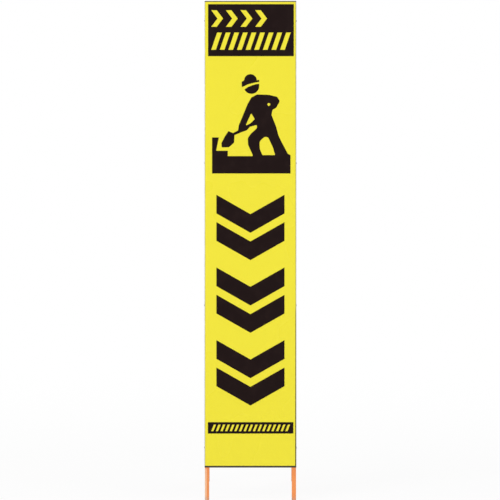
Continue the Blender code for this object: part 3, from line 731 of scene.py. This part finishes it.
def bright_zinc(name, place, grain=(1, 1, 40)):
    """Bright zinc plate over drawn steel: fine lines along its grain and a faint yellow tint."""
    made, add, feed = new_finish(name, PLATE_METALLIC)
    here = own_place(add, place)
    lines = mottle(add, here, DRAWN_LINE, 1.0, detail=3.0, stretch=grain)
    cloud = mottle(add, here, PLATE_CLOUD, 2.0)
    pits = fade(add, mottle(add, here, PLATE_PIT, 3.0, detail=3.0), 0.66, 0.74)
    colour = mixed(add, fade(add, lines, 0.25, 0.75), PLATE_DARK, PLATE_LIGHT)
    colour = mixed(add, fade(add, cloud, 0.45, 0.75, 0.0, 0.6), colour, PLATE_TINT)
    feed("Base Color", mixed(add, times(add, pits, 0.5), colour, PLATE_DARK))
    feed("Roughness", fade(add, cloud, 0.25, 0.75, 0.24, 0.40))
    feed("Normal", raised(add, (0.006, lines), (-0.010, pits)))
    return made


def put_in_order(piece):
    """Lists the points and faces by place, because extruding lists them in a chance order."""
    mesh = bmesh.from_edit_mesh(piece.data)
    by_place = (mesh.verts, lambda vert: tuple(vert.co))
    by_points = (mesh.faces, lambda face: sorted(vert.index for vert in face.verts))
    for parts, key in (by_place, by_points):
        for n, part in enumerate(sorted(parts, key=key)):
            part.index = n
        parts.sort()
    bmesh.update_edit_mesh(piece.data)


def turned(name, profile, sides=32):
    """A turned piece along its own Z: a disc is drawn out and sized at each (height, radius)."""
    height, radius = profile[0]
    deselect_all()
    low_end = {"radius": radius, "location": (0, 0, height)}
    bpy.ops.mesh.primitive_circle_add(vertices=sides, fill_type="NGON", **low_end)
    piece = name_it(name)
    switch_to("EDIT")
    bpy.ops.mesh.select_all(action="SELECT")
    for next_height, next_radius in profile[1:]:
        rise = (0, 0, next_height - height)
        bpy.ops.mesh.extrude_region_move(TRANSFORM_OT_translate={"value": rise})
        share = next_radius / radius
        bpy.ops.transform.resize(value=(share, share, 1), center_override=(0, 0, next_height))
        height, radius = next_height, next_radius
    bpy.ops.mesh.select_all(action="SELECT")
    bpy.ops.mesh.normals_make_consistent()
    put_in_order(piece)
    switch_to("OBJECT")
    return piece


def low_dome(base, height, rim, crown, steps):
    """(height, radius) pairs of a low dome, from its rim in to its crown."""
    turns = [math.pi / 2 * n / steps for n in range(steps + 1)]
    return [(base + height * math.sin(t), crown + (rim - crown) * math.cos(t)) for t in turns]


flange_rise = RIVET_DOME - RIVET_FLANGE_EDGE
rivet_profile = [
    (-RIVET_TAIL - RIVET_SWELL_LENGTH, SIDE_RIVET_RADIUS / 2),
    (-RIVET_TAIL - RIVET_SWELL_LENGTH * 0.85, SIDE_RIVET_RADIUS),
    (-RIVET_TAIL - RIVET_SWELL_LENGTH * 0.5, SIDE_RIVET_RADIUS + RIVET_SWELL),
    (-RIVET_TAIL - RIVET_SWELL_LENGTH * 0.2, SIDE_RIVET_RADIUS + RIVET_SWELL * 0.7),
    (-RIVET_TAIL, SIDE_RIVET_RADIUS),
    (0, SIDE_RIVET_RADIUS),
    (0, RIVET_FLANGE - RIVET_FLANGE_EDGE / 2),
    *low_dome(RIVET_FLANGE_EDGE, flange_rise, RIVET_FLANGE, MANDREL * 1.25, DOME_STEPS),
    (RIVET_DOME - PIT_LIP, MANDREL * 1.1),
    (RIVET_DOME - PIT_DEPTH, MANDREL * 1.05),
    (RIVET_DOME - MANDREL_FOOT, MANDREL * 0.9),
    (RIVET_DOME - MANDREL_BREAK, MANDREL * 0.75),
]
blind_rivet = turned("blind_rivet", rivet_profile)
for label, side in SIDES:
    outward = Matrix.Rotation(side * math.pi / 2, 4, "Y")
    for n, height in enumerate(side_rivet_heights, 1):
        place = moved(front_frame, side * (PANEL_WIDTH / 2 + GAP), TUBE / 2, height) @ outward
        plating = bright_zinc(f"{label}_blind_rivet_plating_{n}", place, grain=(1, 1, 1))
        rivet = copy_of(blind_rivet, f"{label}_blind_rivet_{n}")
        node = f"{label}_side_rivet_{n}"
        stand_in_place(rivet, place, plating, "front_frame", "zinc_plated_steel", node)
put_away(blind_rivet)

# Reflective film. A yellow retroreflective sheeting is rolled on to the whole face, short of its
# folds, with its corners rounded by the knife. Small six-sided cells are sealed into it under a
# clear, glossy skin.
FILM = 0.0004
FILM_CORNER = 0.003
FILM_CORNER_STEPS = 8
FILM_CUT_EDGE = 0.00010
FILM_BACK = SHEET_FRONT - GAP
FILM_FRONT = FILM_BACK - FILM
CELL = 0.0034
YELLOW = (0.876, 0.788, 0.036)
YELLOW_CELL = (0.850, 0.735, 0.026)
YELLOW_WALL = (0.780, 0.640, 0.022)
GLITTER = 0.00028
DYE_CLOUD = 0.21
FILM_WAVE = 0.060
FILM_SCUFF = 0.0004
HALF_ROOT_THREE = math.sqrt(3) / 2


def cell_wall_nearness(add, x, z, pitch):
    """For six-sided cells that wide across their flats: 0 in a cell's middle and 1 on its wall."""
    flat = add("CombineXYZ", ("X", x), ("Y", z)).outputs[0]
    counted = add("VectorMath", (0, flat), ("Scale", 1 / pitch), operation="SCALE").outputs[0]
    high, low = ((way / 2, way * HALF_ROOT_THREE, way) for way in (1, -1))
    shifted = add("VectorMath", (0, counted), (1, (*high[:2], 0)), operation="ADD").outputs[0]
    first, second = (
        add("VectorMath", (0, vector), (1, high), (2, low), operation="WRAP").outputs[0]
        for vector in (counted, shifted)
    )
    reaches = [
        add("VectorMath", (0, vector), operation="LENGTH").outputs["Value"]
        for vector in (first, second)
    ]
    nearer = maths(add, "LESS_THAN", reaches[1], reaches[0])
    # The Mix node's vectors are its inputs 4 and 5, and its output 1.
    own = add("Mix", ("Factor", nearer), (4, first), (5, second), data_type="VECTOR").outputs[1]
    u, v, _ = split(add, add("VectorMath", (0, own), operation="ABSOLUTE").outputs[0])
    slanted = plus(add, times(add, u, 0.5), times(add, v, HALF_ROOT_THREE))
    return times(add, maths(add, "MAXIMUM", u, slanted), 2.0)


def yellow_film(name, place):
    """Clear-skinned yellow sheeting: sealed cells, a fine glitter, and faint waves and scuffs."""
    made, add, feed = new_finish(name)
    here = own_place(add, place)
    x, _, z = split(add, here)
    nearness = cell_wall_nearness(add, x, z, CELL)
    wall = fade(add, nearness, 0.86, 0.95)
    dish = fade(add, nearness, 0.10, 0.90)
    glitter = mottle(add, here, GLITTER, 1.0, detail=1.0)
    dye = mottle(add, here, DYE_CLOUD, 2.0)
    colour = mixed(add, fade(add, glitter, 0.30, 0.62), YELLOW_CELL, YELLOW)
    colour = mixed(add, fade(add, dye, 0.62, 0.30, 0.0, 0.22), colour, YELLOW_CELL)
    colour = mixed(add, times(add, wall, 0.55), colour, YELLOW_WALL)
    # Painted shade: the same dark lines as on the sheet, at the film's foot, top and lower right
    # edge.
    feed("Base Color", mixed(add, painted_edge_shade(add, x, z, glitter), colour, EDGE_SHADE))
    scuffs = fade(add, mottle(add, here, FILM_SCUFF, 3.0, stretch=(40, 1, 3)), 0.72, 0.80)
    waves = mottle(add, here, FILM_WAVE, 4.0, detail=1.0)
    feed("Roughness", fade(add, plus(add, scuffs, dye), 0.2, 1.4, 0.24, 0.46))
    feed("Normal", raised(add, (0.012, glitter), (-0.018, dish), (0.30, waves), (-0.006, scuffs)))
    feed("Specular IOR Level", 0.35)
    return made


middle = (0, (FILM_FRONT + FILM_BACK) / 2, (film_foot + film_top) / 2)
film = new_block("face_film", middle, (2 * film_side, FILM, film_top - film_foot))
switch_to("EDIT")
pick_edges(film, lambda middle, way: abs(way.y) > ALONG)
bpy.ops.mesh.bevel(offset=FILM_CORNER, segments=FILM_CORNER_STEPS)
switch_to("OBJECT")
soften_edges(film, FILM_CUT_EDGE)
sheeting = yellow_film("yellow_sheeting", front_frame)
stand_in_place(film, front_frame, sheeting, "front_frame", "yellow_film", "reflective_film")

# Printed artwork. Header, digging figure, six bold marks and footer are screen-printed on the film
# in black, in one thick pass. The ink has a soft edge, and the film's cells show through it as a
# faint relief.
INK_EDGE = 0.00009
INK = (0.0095, 0.0036, 0.0034)
INK_THIN = (0.0165, 0.0080, 0.0070)
SCREEN_GRAIN = 0.00035
THIN_PATCH = 0.035
OUTLINE_ANGLE = math.radians(0.5)


def black_ink(name, place):
    """Semi-matt black ink, thin in places, with the film's cells and the screen's grain in it."""
    made, add, feed = new_finish(name)
    here = own_place(add, place)
    x, _, z = split(add, here)
    wall = fade(add, cell_wall_nearness(add, x, z, CELL), 0.84, 0.96)
    grain = mottle(add, here, SCREEN_GRAIN, 1.0, detail=1.0)
    thin = mottle(add, here, THIN_PATCH, 2.0)
    share = summed(add, fade(add, thin, 0.42, 0.72, 0.0, 0.5), (0.3, wall))
    feed("Base Color", mixed(add, share, INK, INK_THIN))
    feed("Roughness", fade(add, plus(add, grain, thin), 0.6, 1.4, 0.38, 0.54))
    feed("Normal", raised(add, (0.008, grain), (-0.010, wall), (0.012, thin)))
    feed("Specular IOR Level", 0.07)
    return made


def printed_patch(node, finish):
    """The patch's own outline, with its triangles merged into clean faces and a softened edge."""
    patch = copy_of(frame["nodes"][node], f"{node}_ink")
    take_up(patch)
    switch_to("EDIT")
    merge_points()
    bpy.ops.mesh.dissolve_limited(angle_limit=OUTLINE_ANGLE)
    switch_to("OBJECT")
    soften_edges(patch, INK_EDGE)
    stand_in_place(patch, Matrix.Identity(4), finish, "front_frame", "black_ink", node)


screen_ink = black_ink("screen_ink", front_frame)
prints = ["header_print", "worker_helmet_print", "worker_head_print", "worker_figure_print"]
prints += [f"chevron_print_{n}" for n in range(1, 7)] + ["footer_print"]
for node in prints:
    printed_patch(node, screen_ink)

# Butt hinges. Two steel hinges carry the rear stand. Each leaf is a 1.5 mm plate rolled round the
# pin, two knuckles on the front leaf and one on the rear, and is welded flat on its tube and
# painted with it. The pin is zinc-plated, and both its ends are peened over.
HINGE_LENGTH = 0.050
HINGE_X = 0.080
LEAF = 0.0015
LEAF_EDGE = 0.00025
LEAF_MARGIN = 0.001
KNUCKLE_RADIUS = 0.0032
KNUCKLE_SHARE = 0.36
KNUCKLE_GAP = 0.0005
KNUCKLE_ROLL = math.radians(318)
KNUCKLE_STEPS = 24
HINGE_PIN = 0.0015
HINGE_PIN_HEAD = 0.0012
PIN_HEAD_STEPS = 5
HINGE_BEAD = 0.0008
PROP = math.radians(14)

rear_stand = Matrix.Translation(hinge_place) @ Matrix.Rotation(PROP, 4, "X")
front_hinge = moved(front_frame, 0, TUBE + FOLD_GAP / 2, HINGE_AXIS_HEIGHT)
leaf_reach = FOLD_GAP / 2 + TUBE - LEAF_MARGIN
half_hinge = HINGE_LENGTH / 2


def hinge_leaf(name, way, knuckles):
    """A plate that lies towards way, cut into tongues that are rolled round the hinge's axis."""
    plate_middle = (0, way * leaf_reach / 2, LEAF / 2 - KNUCKLE_RADIUS)
    clear = KNUCKLE_RADIUS + KNUCKLE_GAP
    deselect_all()
    bpy.ops.mesh.primitive_plane_add(size=1, location=plate_middle)
    bpy.context.object.scale = (HINGE_LENGTH, leaf_reach, 1)
    leaf = name_it(name)

    def on_knuckle(middle_x):
        return any(low < middle_x < high for low, high in knuckles)

    def to_roll(place, line):
        return abs(place.y) < TOUCHING and abs(line.x) > ALONG and on_knuckle(place.x)

    switch_to("EDIT")
    tongue_ends = {end for knuckle in knuckles for end in knuckle}
    for x in sorted(tongue_ends - {-half_hinge, half_hinge}):
        slice_through((x, 0, 0), (1, 0, 0))
    slice_through((0, way * clear, 0), (0, 1, 0))
    pick_faces(leaf, lambda place, normal: abs(place.y) < clear and not on_knuckle(place.x))
    bpy.ops.mesh.delete(type="FACE")
    pick_edges(leaf, to_roll)
    roll = -way * KNUCKLE_ROLL
    bpy.ops.mesh.spin(steps=KNUCKLE_STEPS, angle=roll, center=(0, 0, 0), axis=(1, 0, 0))
    merge_points()
    bpy.ops.mesh.normals_make_consistent()
    switch_to("OBJECT")
    use_modifier(leaf, "SOLIDIFY", thickness=LEAF, offset=0, use_even_offset=False)
    soften_edges(leaf, LEAF_EDGE)
    return leaf


centre = HINGE_LENGTH * KNUCKLE_SHARE / 2
centre_outside, centre_inside = centre + KNUCKLE_GAP / 2, centre - KNUCKLE_GAP / 2
outer_knuckles = [(-half_hinge, -centre_outside), (centre_outside, half_hinge)]
inner_knuckles = [(-centre_inside, centre_inside)]
pin_end = half_hinge + GAP
pin_head = HINGE_PIN + HINGE_PIN_HEAD
dome_base = pin_end + HINGE_PIN_HEAD * 0.25
dome = low_dome(dome_base, HINGE_PIN_HEAD * 0.75, pin_head, HINGE_PIN * 0.4, PIN_HEAD_STEPS)
pin_half = [(pin_end, HINGE_PIN), (pin_end, pin_head * 0.94)] + dome
pin_profile = [(-z, r) for z, r in reversed(pin_half)] + pin_half
peened_pin = turned("peened_pin", pin_profile, sides=28)
leaf_end = [(0, KNUCKLE_RADIUS + KNUCKLE_GAP, 0), (0, leaf_reach - BEAD_END_MARGIN, 0)]
leaf_end_bead = weld_bead("leaf_end_bead", leaf_end, HINGE_BEAD)
stand_enamel = orange_paint("stand_weld_enamel", rear_stand, 41.0)
leaves = (
    ("front", -1, outer_knuckles, front_hinge, "front_frame", front_enamel),
    ("rear", 1, inner_knuckles, rear_stand, "rear_stand", stand_enamel),
)
for which, way, knuckles, ground, body, enamel in leaves:
    leaf = hinge_leaf(f"{which}_leaf_plate", way, knuckles)
    for label, side in SIDES:
        node = f"{label}_hinge_{which}_leaf"
        place = moved(ground, side * HINGE_X, 0, 0)
        leaf_enamel = orange_paint(f"{node}_enamel", place, 50.0 + side + 3 * way)
        plate = copy_of(leaf, f"{node}_plate")
        stand_in_place(plate, place, leaf_enamel, body, "orange_paint", node)
        for n, end in enumerate((-1, 1), 1):
            at_end = moved(place, end * (half_hinge + HINGE_BEAD / 2), 0, -KNUCKLE_RADIUS)
            turn = Matrix.Rotation(0 if way > 0 else math.pi, 4, "Z")
            lay_weld(leaf_end_bead, f"{node}_weld_{n}", at_end @ turn, enamel, body)
    put_away(leaf)
for label, side in SIDES:
    place = moved(front_hinge, side * HINGE_X, 0, 0) @ RAIL_TURN
    plating = bright_zinc(f"{label}_pin_plating", place)
    pin = copy_of(peened_pin, f"{label}_peened_pin")
    stand_in_place(pin, place, plating, "front_frame", "zinc_plated_steel", f"{label}_hinge_pin")
put_away(leaf_end_bead, peened_pin)

# Rear stand. Two legs, a mitred top bar, a middle bar and a foot bar of the same tube are welded
# into one frame that swings on the hinges. The legs' lower ends are cut flat for the ground, and
# sandbags lie on the foot bar.
STAND_BAR_TOP = -(GAP + KNUCKLE_RADIUS)
REAR_FOOT_BAR_HEIGHT = 0.150
REAR_MIDDLE_BAR_HEIGHT = 0.560
stand_foot = -hinge_place.z / math.cos(PROP)
top_bar_middle = STAND_BAR_TOP - TUBE / 2
floor_height = stand_foot - STAND_DEPTH * math.tan(PROP)
floor_cut = ((0, 0, floor_height), (0, -math.sin(PROP), -math.cos(PROP)))

for label, side in SIDES:
    cuts = [floor_cut, ((0, 0, top_bar_middle - SNUG), (-side, 0, 1))]
    name = f"{label}_stand_leg_tube"
    leg = square_tube(name, floor_height - SPARE, STAND_BAR_TOP + SPARE, cuts)
    pivot_hole = (-side * TUBE / 2, 0, -STAY_PIVOT_DROP)
    drill(leg, [pivot_hole], STAY_RIVET_RADIUS)
    soften_edges(leg, TUBE_CUT_EDGE)
    place = moved(rear_stand, side * UPRIGHT_X, STAND_DEPTH, 0)
    enamel = orange_paint(f"{label}_stand_leg_enamel", place, 60.0 + side)
    stand_in_place(leg, place, enamel, "rear_stand", "orange_paint", f"{label}_rear_leg")

rear_bars = {
    "rear_foot_bar": stand_foot + REAR_FOOT_BAR_HEIGHT,
    "rear_middle_bar": stand_foot + REAR_MIDDLE_BAR_HEIGHT,
}
for seed, (node, height) in enumerate(rear_bars.items(), 70):
    lay_across(square_cut, node, rear_stand, STAND_DEPTH, height, "rear_stand", seed)
lay_across(mitred, "rear_top_bar", rear_stand, STAND_DEPTH, top_bar_middle, "rear_stand", 80.0)
put_away(square_cut, mitred)

# Welds of the rear stand. It has no face to clear, so its beads run right round every joint, under
# the same orange enamel. They stand less than 1 mm proud, inside the 3 mm that is left between
# the two frames when folded.
ring_corners = [(1, -1), (1, 1), (-1, 1), (-1, -1)]
ring = [(u * weld_reach, v * weld_reach) for u, v in [(0, -1), *ring_corners, (0, -1)]]
tee_bead = weld_bead("tee_bead", [(0, v, u) for u, v in ring], BEAD)
mitre_bead = weld_bead("mitre_bead", [(u, v, u) for u, v in ring], BEAD)
for label, side in SIDES:
    for node, height in rear_bars.items():
        place = moved(rear_stand, side * (INNER_X - BEAD_SINK), STAND_DEPTH, height)
        lay_weld(tee_bead, f"{label}_{node}_weld", place, stand_enamel, "rear_stand")
    place = moved(rear_stand, side * UPRIGHT_X, STAND_DEPTH, top_bar_middle)
    turn = Matrix.Rotation(0 if side > 0 else math.pi, 4, "Z")
    lay_weld(mitre_bead, f"{label}_rear_top_bar_weld", place @ turn, stand_enamel, "rear_stand")
put_away(tee_bead, mitre_bead)

# Stays. Two flat bars of 12 by 2 mm steel stop the stand. Each is pressed with round ends and one
# long slot, and zinc-plated. It turns on a rivet in a rear leg, and its slot slides over a pin in
# the upright.
STAY_WIDTH = 0.012
STAY = 0.002
STAY_EDGE = 0.00022
WASHER = 0.001
WASHER_RADIUS = 0.0048
SLOT_SIDE_CLEARANCE = 0.0008
SLOT_FOLDED_CLEARANCE = 0.001
ROUND_END_STEPS = 14
stay_angle = math.atan2(stay_run, stay_drop)
folded_run = pin_depth - TUBE - FOLD_GAP / 2 - STAND_DEPTH
stay_reach_folded = math.hypot(folded_run, STAY_PIN_DROP - STAY_PIVOT_DROP)
slot_radius = STAY_RIVET_RADIUS + SLOT_SIDE_CLEARANCE
slot_near = stay_reach_folded - STAY_RIVET_RADIUS - SLOT_FOLDED_CLEARANCE
slot_far = stay_reach_open + STAY_RIVET_RADIUS + GAP


def round_ended(name, near, far, width, thickness):
    """A flat bar in the YZ plane that hangs from z = -near to z = -far, with both ends round."""
    bar = new_block(name, (0, 0, -(near + far) / 2), (thickness, width, far - near))
    switch_to("EDIT")
    pick_edges(bar, lambda middle, way: abs(way.x) > ALONG)
    bpy.ops.mesh.bevel(offset=width / 2, segments=ROUND_END_STEPS)
    merge_points()
    switch_to("OBJECT")
    return bar


slotted_bar = round_ended("slotted_bar", -STAY_WIDTH / 2, stay_end, STAY_WIDTH, STAY)
cut_away(slotted_bar, round_ended("slot", slot_near, slot_far, 2 * slot_radius, 3 * STAY))
drill(slotted_bar, [(0, 0, 0)], STAY_RIVET_RADIUS, 4 * STAY)
soften_edges(slotted_bar, STAY_EDGE)
for label, side in SIDES:
    x = side * (INNER_X - 2 * GAP - WASHER - STAY / 2)
    pivot = Matrix.Translation((x, *pivot_place.yz)) @ Matrix.Rotation(stay_angle, 4, "X")
    plating = bright_zinc(f"{label}_stay_plating", pivot)
    bar = copy_of(slotted_bar, f"{label}_slotted_bar")
    stand_in_place(bar, pivot, plating, f"{label}_stay", "zinc_plated_steel", f"{label}_stay")
put_away(slotted_bar)

# Stay rivets and washers. Each stay turns on a shouldered rivet in the rear leg and slides on a
# like one in the upright, all of zinc-plated steel. A plain washer keeps it off the paint, and the
# rivets' tails are set inside the tubes.
STAY_RIVET_HEAD_RADIUS = 0.0045
STAY_RIVET_HEAD = 0.0016
WASHER_EDGE = 0.00015

head_near = 3 * GAP + WASHER + STAY
tail = TUBE_WALL + GAP
head_dome = (head_near + STAY_RIVET_HEAD * 0.35, STAY_RIVET_HEAD * 0.65)
pin_profile = [
    (-tail - RIVET_SWELL_LENGTH, STAY_RIVET_RADIUS / 2),
    (-tail - RIVET_SWELL_LENGTH * 0.5, STAY_RIVET_RADIUS + RIVET_SWELL),
    (-tail, STAY_RIVET_RADIUS),
    (head_near, STAY_RIVET_RADIUS),
    (head_near, STAY_RIVET_HEAD_RADIUS - WASHER_EDGE),
    (head_near + WASHER_EDGE, STAY_RIVET_HEAD_RADIUS),
    *low_dome(*head_dome, STAY_RIVET_HEAD_RADIUS, STAY_RIVET_RADIUS * 0.8, DOME_STEPS),
]
shouldered = turned("shouldered_rivet", pin_profile)

deselect_all()
bpy.ops.mesh.primitive_cylinder_add(vertices=40, radius=WASHER_RADIUS, depth=WASHER)
washer = name_it("plain_washer")
switch_to("EDIT")
pick_faces(washer, lambda middle, normal: abs(normal.z) > ALONG)
bpy.ops.mesh.inset(thickness=WASHER_RADIUS - STAY_RIVET_RADIUS - GAP)
bpy.ops.mesh.bridge_edge_loops()
switch_to("OBJECT")
soften_edges(washer, WASHER_EDGE)

for label, side in SIDES:
    into_bay = Matrix.Rotation(-side * math.pi / 2, 4, "Y")
    on_upright = (side * INNER_X, pin_depth, HINGE_AXIS_HEIGHT - STAY_PIN_DROP)
    on_leg = (side * INNER_X, STAND_DEPTH, -STAY_PIVOT_DROP)
    fixings = (
        ("slide_pin", "stay_slide_pin", front_frame, on_upright, "front_frame"),
        ("pivot", "stay_pivot_rivet", rear_stand, on_leg, "rear_stand"),
    )
    for which, node, ground, spot, body in fixings:
        place = moved(ground, *spot) @ into_bay
        rivet = copy_of(shouldered, f"{label}_{which}_shouldered")
        plating = bright_zinc(f"{label}_{which}_plating", place, grain=(1, 1, 1))
        stand_in_place(rivet, place, plating, body, "zinc_plated_steel", f"{label}_{node}")
        ring = copy_of(washer, f"{label}_{which}_ring")
        place = moved(place, 0, 0, GAP + WASHER / 2)
        plating = bright_zinc(f"{label}_{which}_ring_plating", place, grain=(1, 1, 1))
        stand_in_place(ring, place, plating, body, "zinc_plated_steel", f"{label}_{which}_washer")
put_away(shouldered, washer)

# Floor, light and camera. The sign stands on a pale studio floor under large soft lamps, and the
# camera looks square on to it from far away with a long lens, so that the rear legs stay behind
# the front ones.
FLOOR_SIZE = 60.0
FLOOR_GREY = (0.83, 0.83, 0.83)
FLOOR_PALE = (0.86, 0.86, 0.86)
FLOOR_TOOTH = 0.4
FLOOR_OWN_LIGHT = 0.87
OWN_LIGHT_FROM = 0.7
OWN_LIGHT_FULL = 3.2
AMBIENT_LOW = 0.51
AMBIENT_HIGH = 0.69
SOFTBOX_SIZE = 2.6
SIGN_MIDDLE = Vector((0, 0, 0.75))
LENS_MM = 1200
SENSOR_MM = 36
IMAGE_PIXELS = 500
PIXEL_SIZE = 0.0029985
AIM_HEIGHT = 0.7524
AIM_X = -0.00135
CAMERA_ELEVATION = math.radians(6.5)


def background_ray(add):
    """1 for a ray from the camera, and for one that a shiny or clear piece passes on."""
    rays = add("LightPath").outputs
    shown = maths(add, "MAXIMUM", rays["Is Camera Ray"], rays["Is Glossy Ray"])
    return maths(add, "MAXIMUM", shown, rays["Is Transmission Ray"])


deselect_all()
bpy.ops.mesh.primitive_plane_add(size=FLOOR_SIZE)
floor = name_it("studio_floor")
made, add, feed = new_finish("studio_floor_paper")
middle = add("TexCoord").outputs["Object"]
feed("Base Color", mixed(add, mottle(add, middle, FLOOR_TOOTH), FLOOR_GREY, FLOOR_PALE))
feed("Roughness", 0.9)
feed("Specular IOR Level", 0.0)
paper = made.node_tree.nodes["Principled BSDF"].outputs[0]
glow = add("Emission", ("Color", (1, 1, 1, 1))).outputs[0]
from_middle = add("VectorMath", (0, middle), operation="LENGTH").outputs["Value"]
share = fade(add, from_middle, OWN_LIGHT_FROM, OWN_LIGHT_FULL, FLOOR_OWN_LIGHT, 1.0)
mix = add("MixShader", (0, times(add, share, background_ray(add))), (1, paper), (2, glow))
put(made.node_tree.nodes["Material Output"].inputs["Surface"], mix.outputs[0])
floor.data.materials.append(made)

world = bpy.data.worlds.new("studio")
bpy.context.scene.world = world
world.use_nodes = True
sky = world.node_tree
add = adder(sky)
height = split(add, add("TexCoord").outputs["Generated"])[2]
ambient = fade(add, height, -0.2, 0.9, AMBIENT_LOW, AMBIENT_HIGH)
background = sky.nodes["Background"].inputs
put(background["Color"], (1, 1, 1, 1))
put(background["Strength"], maths(add, "MAXIMUM", background_ray(add), ambient))

lamps = (
    ("key_softbox", (-3.2, -4.2, 3.0), 105),
    ("fill_softbox", (3.6, -3.6, 2.0), 40),
    ("back_softbox", (2.4, 4.2, 3.2), 72),
    ("back_fill_softbox", (-3.4, 3.4, 1.8), 36),
)
for name, place, watts in lamps:
    lamp = bpy.data.lights.new(name, "AREA")
    lamp.shape = "SQUARE"
    lamp.size = SOFTBOX_SIZE
    lamp.energy = watts
    softbox = new_object(name, lamp)
    softbox.location = place
    softbox.rotation_euler = (SIGN_MIDDLE - Vector(place)).to_track_quat("-Z", "Y").to_euler()
    softbox.visible_camera = False

lens = bpy.data.cameras.new("square_on")
lens.sensor_width = SENSOR_MM
lens.lens = LENS_MM
distance = LENS_MM * PIXEL_SIZE / (SENSOR_MM / IMAGE_PIXELS)
camera = new_object("square_on", lens)
toward_camera = Vector((0, -math.cos(CAMERA_ELEVATION), math.sin(CAMERA_ELEVATION)))
aim = front_frame @ Vector((AIM_X, FILM_FRONT, AIM_HEIGHT))
camera.location = aim + toward_camera * distance
camera.rotation_euler = (-toward_camera).to_track_quat("-Z", "Y").to_euler()
lens.clip_start = 1.0
lens.clip_end = distance + FLOOR_SIZE
bpy.context.scene.camera = camera
bpy.context.scene.view_settings.view_transform = "Standard"
